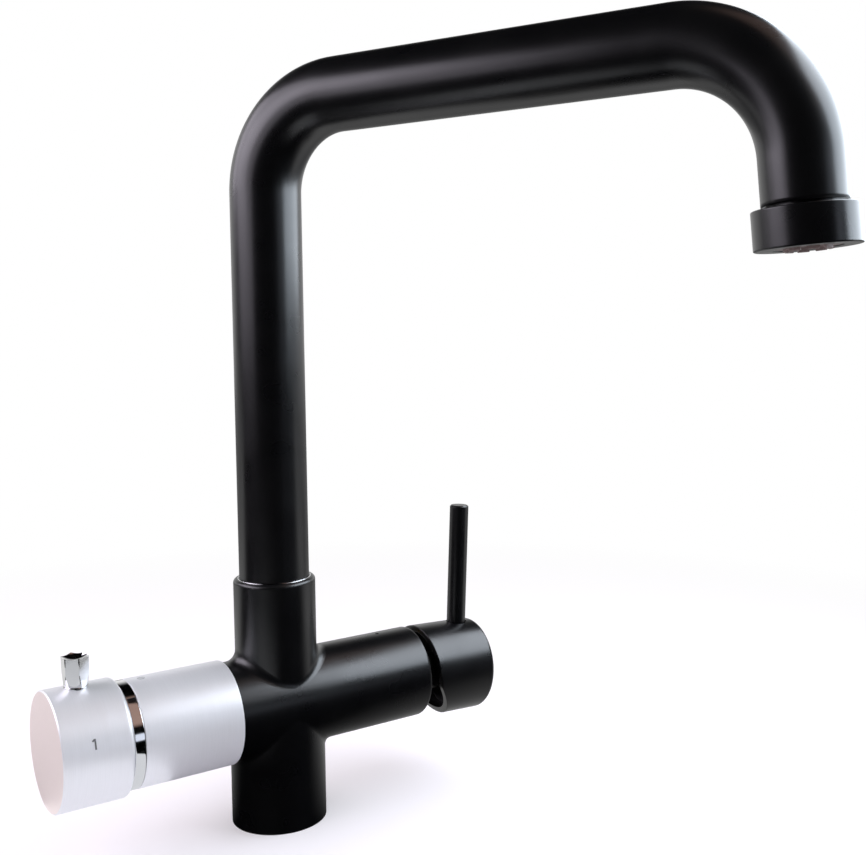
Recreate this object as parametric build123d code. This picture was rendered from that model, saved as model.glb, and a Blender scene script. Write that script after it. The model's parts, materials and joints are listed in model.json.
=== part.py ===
from build123d import *

import os
from math import asin, cos, degrees, pi, radians, sin, tan

# Five-way kitchen tap: a swivelling square spout, a mixer lever on the right arm and a selector for three
# filtered waters on the left. The origin is the centre of the base's underside, on the worktop. +Z is up, the
# arms lie along X, with the lever on +X and the selector on -X, and the user stands on the -Y side. Sizes are
# in millimetres.

# Spout
TUBE_OD = 30.0
TUBE_WALL = 1.5
SPOUT_HEIGHT = 310.0
SPOUT_REACH = 221.0
SPOUT_RISE = 2.0
NOZZLE_CANT = 5.0
NOZZLE_DROP = 51.2
FIRST_BEND_R = 39.0
SECOND_BEND_R = 45.0
SPOUT_SWING = 28.0
SWIVEL_EACH_WAY = 160.0
WATER_TUBE_OD = 8.0
WATER_TUBE_WALL = 1.25

# Body casting
BASE_OD = 41.0
COLLAR_OD = 35.2
COLLAR_TOP = 107.5
COLLAR_SHOULDER = 1.7
ARM_OD = 41.6
ARM_HEIGHT = 52.0
MIXER_ARM_END = 68.6
MIXER_ARM_ROUND = 1.6
SELECTOR_ARM_END = 62.0
COLLAR_BLEND = 5.0
BASE_BLEND = 3.0
SEAT_DISTANCE = 24.0
PIP_RADIUS = 0.9
PIP_DEPTH = 0.4
PIP_DISTANCE = 51.0

# Inlets and waterways in the casting
PORT_CIRCLE = 8.8
PORT_COUNT = 5
MAIN_PORT_R = 4.5
FILTER_PORT_R = 3.5
PORT_DEPTH = 9.0
MAIN_WAY_R = 2.2
FILTER_WAY_R = 2.2
MIXER_INLET_RISE = 5.0
MIXED_OUTLET_DROP = 5.5
MIXED_RISER_X = 9.9

# Fixing to the worktop
SHANK_OD = 33.0
SHANK_BORE = 27.0
SHANK_LENGTH = 52.0
SHANK_NECK = 14.0
SHANK_SEAT_R = 16.0
SHANK_SEAT_DEPTH = 12.0
THREAD_PITCH = 1.5
THREAD_DEPTH = 0.8
WORKTOP_THICKNESS = 30.0
RUBBER_WASHER_OD = 52.0
RUBBER_WASHER_THICKNESS = 3.0
STEEL_WASHER_OD = 50.0
STEEL_WASHER_THICKNESS = 1.5
CLAMP_NUT_FLATS = 46.0
CLAMP_NUT_HEIGHT = 9.0
CLAMP_NUT_ROUNDING = 2.2
CLAMP_NUT_CHAMFER = 1.5
SEAL_INNER_R = 17.6
SEAL_OUTER_R = 19.5
SEAL_THICKNESS = 2.0

# Spout foot
FERRULE_R = 12.5
FERRULE_BORE_R = 9.0
FERRULE_BOTTOM_GAP = 1.0
FERRULE_SLEEVE = 12.0
FERRULE_FLANGE = 1.5
FERRULE_DEPTH = 18.0
SPOUT_SEAT_DEPTH = 21.5
BEARING_WASHER_THICKNESS = 1.0
O_RING_SECTION = 2.0
O_RING_EDGE = 3.0
STOP_GROOVE_WIDTH = 3.6
STOP_GROOVE_DEPTH = 1.5
STOP_SCREW_R = 2.0
STOP_TIP_R = 1.4
STOP_MARGIN = 1.0
STOP_SHOULDER = 0.6
STOP_SCREW_SUNK = 0.8
SCREW_SOCKET_DEPTH = 1.8
SWIVEL_RING_THICKNESS = 0.65
SWIVEL_RING_HEIGHT = 1.4
SWIVEL_RING_PROUD = 0.3
TUBE_SOCKET_DEPTH = 6.0

# Nozzle and aerator
NOZZLE_COLLAR_OD = 37.2
NOZZLE_COLLAR_HEIGHT = 13.9
NOZZLE_COLLAR_ROUND = 0.5
NOZZLE_GROOVE = 1.2
INSERT_SLEEVE = 11.0
INSERT_NECK_R = 13.0
INSERT_NECK = 7.3
INSERT_WEB = 4.0
INSERT_BORE_R = 10.0
INSERT_HOLES = 6
INSERT_HOLE_R = 1.6
INSERT_HOLE_CIRCLE = 7.2
AERATOR_R = 11.9
AERATOR_WALL = 1.4
AERATOR_RECESS = 0.4
AERATOR_FLOOR = 1.2
OUTLET_RING_R = 8.6
OUTLET_RING_WALL = 1.3
OUTLET_RING_DROP = 2.2
OUTLET_NOTCHES = 8
OUTLET_NOTCH = 2.2
SCREEN_THICKNESS = 0.5
SCREEN_COUNT = 3
SCREEN_GAP = 0.6
STRAIGHTENER_RIM = 1.0
STRAIGHTENER_WALL = 0.8
STRAIGHTENER_BLADES = 3
GASKET_THICKNESS = 1.0

# Mixer cartridge
MIXER_GASKET = 0.8
MIXER_SHELL_R = 17.4
MIXER_SHELL_END = 57.0
MIXER_SHELL_BORE = 15.4
MIXER_SHELL_FLOOR = 3.2
DISC_THICKNESS = 3.0
POCKET_R = 5.2
POCKET_DROP = 2.6
POCKET_DEPTH = 1.6
SOCKET_WALL = 1.6
SOCKET_SLACK = 0.6
TURRET_START = 41.5
TURRET_END = 56.4
PIVOT_DISTANCE = 52.0
PIVOT_PIN_R = 1.5
STEM_SQUARE = 8.0
STEM_BALL_R = 4.0
STEM_NECK_R = 3.0
STEM_SQUARE_START = 47.0
BALL_ARM = 10.4
STEM_END = 87.0
MIXER_NUT_R = 18.9
MIXER_NUT_BORE = 12.6
MIXER_NUT_END = 65.5
MIXER_NUT_SLOT = 5.0
NUT_SLOT_DEPTH = 2.0
DOME_R = 21.0
DOME_WALL = 1.4
DOME_OPENING_R = 12.2
TURN_EACH_WAY = 45.0
LEVER_TRAVEL = 20.0
LUG_ANGLE = 12.0
LUG_HEIGHT = 1.2
LUG_LENGTH = 3.0

# Mixer knob and lever
LEVER_LEAN = 2.7
LEVER_KNOB_OD = 43.0
LEVER_KNOB_WALL = 2.7
LEVER_KNOB_END = 103.4
LEVER_KNOB_SOLID = 89.0
LEVER_KNOB_ROUND = 1.8
GAP_AT_TOP = 2.6
GAP_AT_FOLD = 4.9
GAP_AT_BOTTOM = 15.3
RIM_FOLD = 3.0
HUB_R = 8.0
HUB_START = 77.0
HUB_SLACK = 2.0
ROD_OD = 9.0
ROD_CHAMFER = 0.6
ROD_DISTANCE = 94.4
ROD_TOP = 78.4
ROD_SEAT_DEPTH = 0.9
ROD_SEAT_RIM = 0.5
ROD_SPIGOT_R = 3.0
ROD_SPIGOT = 10.0
LEVER_SCREW_R = 2.5
LEVER_SCREW_LENGTH = 5.0
LEVER_SCREW_DISTANCE = 82.0
GRUB_CHAMFER = 0.3
GRUB_SOCKET_DEPTH = 3.2

# Selector cartridge
SELECTOR_GASKET = 0.8
SELECTOR_SHELL_R = 15.4
SELECTOR_SHELL_BORE = 12.6
SELECTOR_SHELL_END = 50.0
SELECTOR_SHELL_FLOOR = 2.2
SELECTOR_CHANNEL = 1.5
SELECTOR_SHAFT_R = 5.0
SELECTOR_FLANGE = 5.0
SELECTOR_FORWARD = 180.0
SELECTOR_BACK = 72.0
SELECTOR_NUT_R = 17.2
SELECTOR_NUT_END = 60.0
SELECTOR_NUT_SLOT = 4.0
SPLINE_R = 4.0
SPLINE_START = 66.0
SPLINE_END = 90.0
SPLINE_FLAT_HEIGHT = 3.2

# Selector sleeve, ring and knob
SLEEVE_OD = 44.2
SLEEVE_WALL = 1.1
SLEEVE_START = 24.8
SLEEVE_END = 65.9
SLEEVE_CHAMFER = 0.3
BEZEL_OD = 44.0
BEZEL_WALL = 3.4
BEZEL_END = 70.4
SELECTOR_KNOB_OD = 48.0
SELECTOR_KNOB_WALL = 3.0
SELECTOR_KNOB_START = 70.8
SELECTOR_KNOB_SOLID = 80.0
SELECTOR_KNOB_END = 98.2
SELECTOR_KNOB_ROUND = 1.4
SELECTOR_KNOB_CHAMFER = 0.5
PIN_DISTANCE = 85.9
PIN_TOP = 36.3
PIN_FLATS_FOOT = 8.8
PIN_FLATS_TOP = 9.5
PIN_FOOT_R = 4.7
PIN_FOOT = 1.5
PIN_SPIGOT_R = 2.5
PIN_SPIGOT = 8.0
PIN_DISH_R = 9.0
PIN_DISH_DEPTH = 1.75
PIN_NECK_R = 4.3
PIN_ARCH = 3.8
PIN_TURN = 30.0
SELECTOR_SCREW_R = 2.0
SELECTOR_SCREW_LENGTH = 8.0
INDEX_DOT_R = 0.8
INDEX_DOT_DISTANCE = 62.0

# Clearances
FIT = 0.05
RUN = 0.08
FREE = 0.3

# How far cuts and tests reach past a face, and how near a wanted edge must lie
PAST = 1.0
NEAR = 0.01

TUBE_R = TUBE_OD / 2
TUBE_BORE_R = TUBE_R - TUBE_WALL
SWIVEL_RING_R = TUBE_R + RUN + SWIVEL_RING_THICKNESS
WATER_TUBE_R = WATER_TUBE_OD / 2
ARM_R = ARM_OD / 2
BASE_R = BASE_OD / 2
COLLAR_R = COLLAR_OD / 2
SHANK_R = SHANK_OD / 2
SLEEVE_R = SLEEVE_OD / 2
LEVER_KNOB_R = LEVER_KNOB_OD / 2
LEVER_KNOB_BORE = LEVER_KNOB_R - LEVER_KNOB_WALL
SELECTOR_KNOB_R = SELECTOR_KNOB_OD / 2
SPOUT_SEAT = COLLAR_TOP - SPOUT_SEAT_DEPTH
FERRULE_FLOOR = SPOUT_SEAT - FERRULE_DEPTH
FERRULE_BOTTOM = FERRULE_FLOOR + FERRULE_BOTTOM_GAP
FLANGE_BOTTOM = SPOUT_SEAT + BEARING_WASHER_THICKNESS + FIT
TUBE_BOTTOM = FLANGE_BOTTOM + FERRULE_FLANGE
LOWER_O_RING = FERRULE_BOTTOM + O_RING_EDGE
UPPER_O_RING = SPOUT_SEAT - O_RING_EDGE
STOP_LEVEL = (LOWER_O_RING + UPPER_O_RING) / 2
MIXER_INLET_LEVEL = ARM_HEIGHT + MIXER_INLET_RISE
MIXED_LEVEL = ARM_HEIGHT - MIXED_OUTLET_DROP
SIDE_PORT_ANGLE = 3 * pi / PORT_COUNT
SIDE_PORT_LEVEL = ARM_HEIGHT + PORT_CIRCLE * cos(radians(SELECTOR_BACK))
BACK_PORT_LEVEL = ARM_HEIGHT - PORT_CIRCLE
FIXED_DISC_START = SEAT_DISTANCE + MIXER_GASKET + MIXER_SHELL_FLOOR
SELECTOR_DISC_START = SEAT_DISTANCE + SELECTOR_GASKET + SELECTOR_SHELL_FLOOR
SPOUT_TURN = SPOUT_SWING - 90.0
NOZZLE_HEIGHT = SPOUT_HEIGHT - NOZZLE_DROP
BALL_DISTANCE = PIVOT_DISTANCE - BALL_ARM
DISC_SLIDE = BALL_ARM * (sin(radians(LEVER_LEAN + LEVER_TRAVEL)) - sin(radians(LEVER_LEAN)))
MOVING_DISC_R = MIXER_SHELL_BORE - DISC_SLIDE - FREE

AXIS_MIN = (Align.CENTER, Align.CENTER, Align.MIN)


def rod_z(radius, low, high, x=0.0, y=0.0):
    """A round bar along Z."""
    return Pos(x, y, low) * Cylinder(radius, high - low, align=AXIS_MIN)


def rod_x(radius, start, end, y=0.0, z=ARM_HEIGHT):
    """A round bar along X at the height of the arms, from start to end in either direction."""
    low, high = min(start, end), max(start, end)
    return Pos(low, y, z) * Rot(0, 90, 0) * Cylinder(radius, high - low, align=AXIS_MIN)


def rod_y(radius, half_length, x, z=ARM_HEIGHT):
    """A round bar along Y, centred on the arms."""
    return Pos(x, 0, z) * Rot(90, 0, 0) * Cylinder(radius, 2 * half_length)


def ring_z(outer, inner, low, high):
    """A flat ring round Z."""
    return rod_z(outer, low, high) - rod_z(inner, low - PAST, high + PAST)


def ring_x(outer, inner, start, end):
    """A flat ring round the arms' axis."""
    low, high = min(start, end), max(start, end)
    return rod_x(outer, low, high) - rod_x(inner, low - PAST, high + PAST)


def edges_at(shape, axis, place, radius):
    """The circular edges of one radius that lie square to an axis at one place."""
    picked = []
    for edge in shape.edges().filter_by(GeomType.CIRCLE):
        centre = edge.arc_center
        where = {"X": centre.X, "Z": centre.Z}[axis]
        if abs(where - place) < NEAR and abs(edge.radius - radius) < NEAR:
            picked.append(edge)
    return picked


def sector(half_angle, radius, height):
    """A wedge of a disc about +X, upwards from the origin, that reaches past the radius all the way round."""
    reach = 2 * radius
    corners = [(0, 0)]
    for share in (-1.0, -0.5, 0.0, 0.5, 1.0):
        turn = radians(half_angle * share)
        corners.append((reach * cos(turn), reach * sin(turn)))
    return extrude(make_face(Polyline(*corners, close=True)), height)


def sector_x(half_angle, radius, start, end, turn=0.0):
    """A wedge about the arms' axis, whose middle points down and then turns forwards about +X."""
    low, high = min(start, end), max(start, end)
    wedge = Rot(0, 90, 0) * sector(half_angle, radius, high - low)
    return Pos(low, 0, ARM_HEIGHT) * Rot(turn, 0, 0) * wedge


def port_places():
    """The five inlets as (x, y, radius) on the port circle: hot and cold, then the three filtered waters."""
    step = 2 * pi / PORT_COUNT
    angles = [step / 2, -step / 2, SIDE_PORT_ANGLE, -SIDE_PORT_ANGLE, pi]
    radii = [MAIN_PORT_R] * 2 + [FILTER_PORT_R] * 3
    return [(PORT_CIRCLE * cos(a), PORT_CIRCLE * sin(a), r) for a, r in zip(angles, radii)]


def body_casting():
    """The brass body: base, collar and two arms with blended corners, bored for all that it holds."""
    body = rod_z(BASE_R, 0, ARM_HEIGHT)
    body += rod_x(ARM_R, -SELECTOR_ARM_END, MIXER_ARM_END)
    body += rod_z(COLLAR_R, ARM_HEIGHT, COLLAR_TOP)
    body = blend_corners(body)
    body = fillet(edges_at(body, "Z", COLLAR_TOP, COLLAR_R), COLLAR_SHOULDER)
    body = fillet(edges_at(body, "X", MIXER_ARM_END, ARM_R), MIXER_ARM_ROUND)
    body -= rod_z(SHANK_SEAT_R + FIT, -PAST, SHANK_SEAT_DEPTH)
    body -= ring_z(SEAL_OUTER_R + FIT, SEAL_INNER_R - FIT, -PAST, SEAL_THICKNESS)
    body -= rod_z(TUBE_R + FREE, SPOUT_SEAT, COLLAR_TOP + PAST)
    body -= rod_z(SWIVEL_RING_R + FIT, COLLAR_TOP - SWIVEL_RING_HEIGHT, COLLAR_TOP + PAST)
    body -= rod_z(FERRULE_R + RUN, FERRULE_FLOOR, SPOUT_SEAT + PAST)
    body -= rod_x(MIXER_SHELL_R + FIT, SEAT_DISTANCE, MIXER_ARM_END + PAST)
    body -= rod_x(MIXER_NUT_R + FIT, MIXER_SHELL_END, MIXER_ARM_END + PAST)
    body -= rod_x(SELECTOR_SHELL_R + FIT, -SEAT_DISTANCE, -SELECTOR_ARM_END - PAST)
    body -= rod_x(SELECTOR_NUT_R + FIT, -SELECTOR_SHELL_END, -SELECTOR_ARM_END - PAST)
    screw_hole = Cylinder(STOP_SCREW_R + FIT, COLLAR_R + PAST, align=AXIS_MIN)
    body -= Pos(0, 0, STOP_LEVEL) * Rot(-90, 0, 0) * screw_hole
    body -= rod_z(PIP_RADIUS, ARM_HEIGHT + ARM_R - PIP_DEPTH, ARM_HEIGHT + ARM_R + PAST, PIP_DISTANCE)
    return body - waterways()


def blend_corners(body):
    """Rounds the inner corners where the collar and the base run into the arms."""
    for radius, side in ((COLLAR_BLEND, 1), (BASE_BLEND, -1)):
        corners = []
        for edge in body.edges():
            middle = edge.center()
            past_axis = side * (middle.Z - ARM_HEIGHT) > PAST
            beside = abs(middle.X) < ARM_R + PAST
            if past_axis and beside and edge.geom_type not in (GeomType.CIRCLE, GeomType.LINE):
                corners.append(edge)
        body = fillet(corners, radius)
    return body


def waterways():
    """The drillings from the five inlets to the two cartridges, and from the cartridges to the spout."""
    ways = []
    levels = [MIXER_INLET_LEVEL] * 2 + [SIDE_PORT_LEVEL] * 2 + [BACK_PORT_LEVEL]
    for (x, y, port_r), level in zip(port_places(), levels):
        way_r = MAIN_WAY_R if port_r == MAIN_PORT_R else FILTER_WAY_R
        side = 1 if port_r == MAIN_PORT_R else -1
        ways.append(rod_z(port_r, SHANK_SEAT_DEPTH - PAST, SHANK_SEAT_DEPTH + PORT_DEPTH, x, y))
        ways.append(rod_z(way_r, SHANK_SEAT_DEPTH, level, x, y))
        ways.append(Pos(x, y, level) * Sphere(way_r))
        ways.append(rod_x(way_r, x, side * (SEAT_DISTANCE + PAST), y, level))
    ways.append(rod_x(MAIN_WAY_R, MIXED_RISER_X, SEAT_DISTANCE + PAST, 0, MIXED_LEVEL))
    ways.append(Pos(MIXED_RISER_X, 0, MIXED_LEVEL) * Sphere(MAIN_WAY_R))
    ways.append(rod_z(MAIN_WAY_R, MIXED_LEVEL, FERRULE_FLOOR + PAST, MIXED_RISER_X))
    ways.append(rod_x(FILTER_WAY_R, 0, -SEAT_DISTANCE - PAST))
    ways.append(Pos(0, 0, ARM_HEIGHT) * Sphere(FILTER_WAY_R))
    ways.append(rod_z(FILTER_WAY_R, ARM_HEIGHT, FERRULE_FLOOR))
    ways.append(rod_z(WATER_TUBE_R + RUN, FERRULE_FLOOR - TUBE_SOCKET_DEPTH, FERRULE_FLOOR + PAST))
    cut = ways[0]
    for way in ways[1:]:
        cut += way
    return cut


def threaded_shank():
    """The hollow shank: its seat in the casting, a plain neck, then the thread as closed grooves."""
    top = SHANK_SEAT_DEPTH - FIT
    points = [(SHANK_BORE / 2, -SHANK_LENGTH), (SHANK_BORE / 2, top)]
    points += [(SHANK_SEAT_R, top), (SHANK_SEAT_R, 0), (SHANK_R, 0)]
    turns = int((SHANK_LENGTH - SHANK_NECK) / THREAD_PITCH) - 1
    for turn in range(turns):
        crest = -SHANK_NECK - THREAD_PITCH * turn
        points.append((SHANK_R, crest))
        points.append((SHANK_R - THREAD_DEPTH, crest - THREAD_PITCH / 2))
    points.append((SHANK_R, -SHANK_NECK - THREAD_PITCH * turns))
    points.append((SHANK_R, -SHANK_LENGTH + THREAD_DEPTH))
    points.append((SHANK_R - THREAD_DEPTH, -SHANK_LENGTH))
    section = make_face(Plane.XZ * Polyline(*points, close=True))
    return revolve(section, Axis.Z)


def base_seal():
    """The rubber ring in the groove under the base."""
    return ring_z(SEAL_OUTER_R, SEAL_INNER_R, 0, SEAL_THICKNESS - FIT)


def worktop_washers():
    """The rubber washer and the steel washer under the worktop."""
    rubber_top = -WORKTOP_THICKNESS
    steel_top = rubber_top - RUBBER_WASHER_THICKNESS
    rubber = ring_z(RUBBER_WASHER_OD / 2, SHANK_R + FIT, steel_top, rubber_top)
    steel = ring_z(STEEL_WASHER_OD / 2, SHANK_R + FIT, steel_top - STEEL_WASHER_THICKNESS, steel_top)
    return rubber, steel


def clamp_nut():
    """The hexagon nut on the shank, with its corners turned round."""
    top = -WORKTOP_THICKNESS - RUBBER_WASHER_THICKNESS - STEEL_WASHER_THICKNESS
    bottom = top - CLAMP_NUT_HEIGHT
    hexagon = RegularPolygon(CLAMP_NUT_FLATS / 2, 6, major_radius=False)
    prism = Pos(0, 0, bottom) * extrude(hexagon, CLAMP_NUT_HEIGHT)
    rounding = rod_z(CLAMP_NUT_FLATS / 2 + CLAMP_NUT_ROUNDING, bottom, top)
    rounding = chamfer(rounding.edges().filter_by(GeomType.CIRCLE), CLAMP_NUT_CHAMFER)
    return (prism & rounding) - rod_z(SHANK_R + FIT, bottom - PAST, top + PAST)


def spout_route(bottom, past_end=0.0):
    """The spout's centreline in the XZ plane, from the foot to the nozzle, as a line with tangent bends."""
    rise = SPOUT_REACH * tan(radians(SPOUT_RISE))
    far_corner = SPOUT_HEIGHT + rise
    drop = (far_corner - NOZZLE_HEIGHT) / cos(radians(NOZZLE_CANT)) + past_end
    end_x = SPOUT_REACH + drop * sin(radians(NOZZLE_CANT))
    end_z = far_corner - drop * cos(radians(NOZZLE_CANT))
    points = [(0, 0, bottom), (0, 0, SPOUT_HEIGHT), (SPOUT_REACH, 0, far_corner), (end_x, 0, end_z)]
    return FilletPolyline(*points, radius=[FIRST_BEND_R, SECOND_BEND_R])


def swung(shape):
    """Turns a spout piece from the XZ plane to where the spout points at rest."""
    return Rot(0, 0, SPOUT_TURN) * shape


def at_nozzle(shape):
    """Moves a piece from the origin, built downwards along -Z, to the spout tube's open end."""
    rise = SPOUT_REACH * tan(radians(SPOUT_RISE))
    fall = SPOUT_HEIGHT + rise - NOZZLE_HEIGHT
    out = SPOUT_REACH + fall * tan(radians(NOZZLE_CANT))
    return swung(Pos(out, 0, NOZZLE_HEIGHT) * Rot(0, -NOZZLE_CANT, 0) * shape)


def bent_tube(radius, wall, bottom, past_end=0.0):
    """A round tube along the spout's centreline."""
    route = spout_route(bottom, past_end)
    section = Pos(0, 0, bottom) * (Circle(radius) - Circle(radius - wall))
    return swung(sweep(section, path=route))


def spout_ferrule():
    """The brass foot of the spout: grooved sealing barrel, flange under the tube, sleeve inside it."""
    foot = rod_z(FERRULE_R, FERRULE_BOTTOM, FLANGE_BOTTOM)
    foot += rod_z(TUBE_R - FIT, FLANGE_BOTTOM, TUBE_BOTTOM)
    foot += rod_z(TUBE_BORE_R - FIT, TUBE_BOTTOM, TUBE_BOTTOM + FERRULE_SLEEVE)
    foot -= rod_z(FERRULE_BORE_R, FERRULE_BOTTOM - PAST, TUBE_BOTTOM + FERRULE_SLEEVE + PAST)
    for level in (LOWER_O_RING, UPPER_O_RING):
        half = O_RING_SECTION / 2 + FIT
        foot -= ring_z(FERRULE_R + PAST, FERRULE_R - O_RING_SECTION, level - half, level + half)
    groove = ring_z(
        FERRULE_R + PAST,
        FERRULE_R - STOP_GROOVE_DEPTH,
        STOP_LEVEL - STOP_GROOVE_WIDTH / 2,
        STOP_LEVEL + STOP_GROOVE_WIDTH / 2,
    )
    return swung(foot - (groove - stop_key()))


def stop_key():
    """The uncut sector of the stop groove, which meets the screw's tip at both ends of the swivel."""
    tip_angle = degrees(asin((STOP_TIP_R + FIT) / (FERRULE_R - STOP_GROOVE_DEPTH)))
    half_angle = 180.0 - SWIVEL_EACH_WAY - tip_angle - STOP_MARGIN
    return Pos(0, 0, STOP_LEVEL - STOP_GROOVE_WIDTH) * sector(half_angle, FERRULE_R, 2 * STOP_GROOVE_WIDTH)


def spout_o_rings():
    """The two rubber rings in the ferrule's grooves."""
    rings = []
    for level in (LOWER_O_RING, UPPER_O_RING):
        centre = FERRULE_R + FIT - O_RING_SECTION / 2
        rings.append(swung(Pos(0, 0, level) * Torus(centre, O_RING_SECTION / 2 - FIT / 2)))
    return rings


def stop_screw():
    """The grub screw at the back of the collar, with a hexagon socket and a slim tip in the stop groove."""
    tip_end = FERRULE_R - STOP_GROOVE_DEPTH + FREE
    step = FERRULE_R + RUN + STOP_SHOULDER
    outside = COLLAR_R - STOP_SCREW_SUNK
    screw = Cylinder(STOP_SCREW_R, outside - step, align=AXIS_MIN)
    screw += Pos(0, 0, tip_end - step) * Cylinder(STOP_TIP_R, step - tip_end + PAST, align=AXIS_MIN)
    hexagon = RegularPolygon(STOP_SCREW_R / 2, 6, major_radius=False)
    socket = Pos(0, 0, outside - step - SCREW_SOCKET_DEPTH) * extrude(hexagon, 2 * SCREW_SOCKET_DEPTH)
    return Pos(0, step, STOP_LEVEL) * Rot(-90, 0, 0) * (screw - socket)


def swivel_ring():
    """The thin bright ring in the collar's mouth, round the foot of the tube."""
    low, high = COLLAR_TOP - SWIVEL_RING_HEIGHT, COLLAR_TOP + SWIVEL_RING_PROUD
    return ring_z(SWIVEL_RING_R, TUBE_R + RUN, low, high)


def nozzle_insert():
    """The brass end of the spout: sleeve in the tube, neck, and a web that holds the filtered-water tube."""
    piece = rod_z(TUBE_BORE_R - FIT, 0, INSERT_SLEEVE) + rod_z(INSERT_NECK_R, -INSERT_NECK, 0)
    piece -= rod_z(INSERT_BORE_R, -INSERT_NECK + INSERT_WEB, INSERT_SLEEVE + PAST)
    piece -= rod_z(WATER_TUBE_R + FIT, -INSERT_NECK - PAST, INSERT_SLEEVE)
    for turn in range(INSERT_HOLES):
        angle = 2 * pi * turn / INSERT_HOLES
        x, y = INSERT_HOLE_CIRCLE * cos(angle), INSERT_HOLE_CIRCLE * sin(angle)
        piece -= rod_z(INSERT_HOLE_R, -INSERT_NECK - PAST, 0, x, y)
    return at_nozzle(piece)


def nozzle_collar():
    """The black collar that screws over the insert's neck and holds the aerator."""
    top = -NOZZLE_GROOVE
    bottom = top - NOZZLE_COLLAR_HEIGHT
    ledge = -INSERT_NECK - FIT
    collar = rod_z(NOZZLE_COLLAR_OD / 2, bottom, top)
    collar = fillet(collar.edges().filter_by(GeomType.CIRCLE), NOZZLE_COLLAR_ROUND)
    collar -= rod_z(INSERT_NECK_R + FIT, ledge, top + PAST)
    collar -= rod_z(AERATOR_R + FIT, bottom - PAST, ledge + PAST)
    return at_nozzle(collar)


def aerator_pieces():
    """The aerator's gasket, screens, straightener and housing with its notched outlet ring."""
    gasket_top = -INSERT_NECK - FIT
    gasket = ring_z(AERATOR_R, AERATOR_R - 2 * AERATOR_WALL, gasket_top - GASKET_THICKNESS, gasket_top)
    house_top = gasket_top - GASKET_THICKNESS
    house_bottom = -NOZZLE_GROOVE - NOZZLE_COLLAR_HEIGHT + AERATOR_RECESS
    floor = house_bottom + AERATOR_FLOOR
    bore = AERATOR_R - AERATOR_WALL
    housing = rod_z(AERATOR_R, house_bottom, house_top) - rod_z(bore, floor, house_top + PAST)
    ring_bottom = house_bottom - OUTLET_RING_DROP
    housing += rod_z(OUTLET_RING_R, ring_bottom, floor)
    housing -= rod_z(OUTLET_RING_R - OUTLET_RING_WALL, ring_bottom - PAST, floor + PAST)
    for turn in range(OUTLET_NOTCHES // 2):
        slot = Box(3 * OUTLET_RING_R, OUTLET_NOTCH, OUTLET_RING_DROP)
        housing -= Rot(0, 0, 180.0 * turn / (OUTLET_NOTCHES // 2)) * Pos(0, 0, ring_bottom) * slot
    screens = []
    for layer in range(SCREEN_COUNT):
        low = house_top - FREE - (layer + 1) * SCREEN_THICKNESS - layer * SCREEN_GAP
        screens.append(rod_z(bore - FIT, low, low + SCREEN_THICKNESS))
    star_top = house_top - FREE - SCREEN_COUNT * (SCREEN_THICKNESS + SCREEN_GAP)
    star = ring_z(bore - FIT, bore - STRAIGHTENER_RIM, floor, star_top)
    blade = Box(2 * bore - STRAIGHTENER_RIM, STRAIGHTENER_WALL, star_top - floor)
    for turn in range(STRAIGHTENER_BLADES):
        angle = 180.0 * turn / STRAIGHTENER_BLADES
        star += Rot(0, 0, angle) * Pos(0, 0, (floor + star_top) / 2) * blade
    return at_nozzle(gasket), at_nozzle(housing), [at_nozzle(s) for s in screens], at_nozzle(star)


def mixer_ports():
    """The three holes that the mixer's gasket, shell floor and fixed disc share with the casting's seat."""
    low, high = SEAT_DISTANCE - PAST, FIXED_DISC_START + DISC_THICKNESS + PAST
    holes = rod_x(MAIN_WAY_R, low, high, 0, MIXED_LEVEL)
    for x, y, _ in port_places()[:2]:
        holes += rod_x(MAIN_WAY_R, low, high, y, MIXER_INLET_LEVEL)
    return holes


def mixer_cartridge():
    """The fixed parts of the mixer cartridge: gasket, shell and fixed ceramic disc."""
    shell_start = SEAT_DISTANCE + MIXER_GASKET
    gasket = rod_x(MIXER_SHELL_R - FREE, SEAT_DISTANCE, shell_start) - mixer_ports()
    shell = rod_x(MIXER_SHELL_R, shell_start, MIXER_SHELL_END)
    shell -= rod_x(MIXER_SHELL_BORE, FIXED_DISC_START, MIXER_SHELL_END + PAST)
    track_start = TURRET_END - LUG_LENGTH - FREE
    track = rod_x(MIXER_SHELL_BORE + LUG_HEIGHT + FREE, track_start, MIXER_SHELL_END + PAST)
    swing = TURN_EACH_WAY + LUG_ANGLE + STOP_MARGIN
    shell -= track & sector_x(swing, MIXER_SHELL_R, TURRET_START, MIXER_SHELL_END + PAST)
    shell -= mixer_ports()
    disc = rod_x(MIXER_SHELL_BORE - FIT, FIXED_DISC_START, FIXED_DISC_START + DISC_THICKNESS) - mixer_ports()
    return gasket, shell, disc


def moving_disc():
    """The sliding ceramic disc: mixing pocket in its face, socket for the stem's ball end on its back."""
    start = FIXED_DISC_START + DISC_THICKNESS + FIT
    back = start + DISC_THICKNESS
    bore = STEM_BALL_R + SOCKET_SLACK
    ball_level = BALL_ARM * sin(radians(LEVER_LEAN))
    disc = rod_x(MOVING_DISC_R, start, back)
    disc -= rod_x(POCKET_R, start - PAST, start + POCKET_DEPTH, 0, ARM_HEIGHT - POCKET_DROP)
    return disc + Pos(0, 0, ball_level) * ring_x(bore + SOCKET_WALL, bore, back - FIT, TURRET_START - FREE)


def lean(shape):
    """Tips a lever piece about the cartridge's pivot to the lean that it has at rest."""
    to_pivot = Pos(PIVOT_DISTANCE, 0, ARM_HEIGHT)
    from_pivot = Pos(-PIVOT_DISTANCE, 0, -ARM_HEIGHT)
    return to_pivot * Rot(0, LEVER_LEAN, 0) * from_pivot * shape


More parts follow.
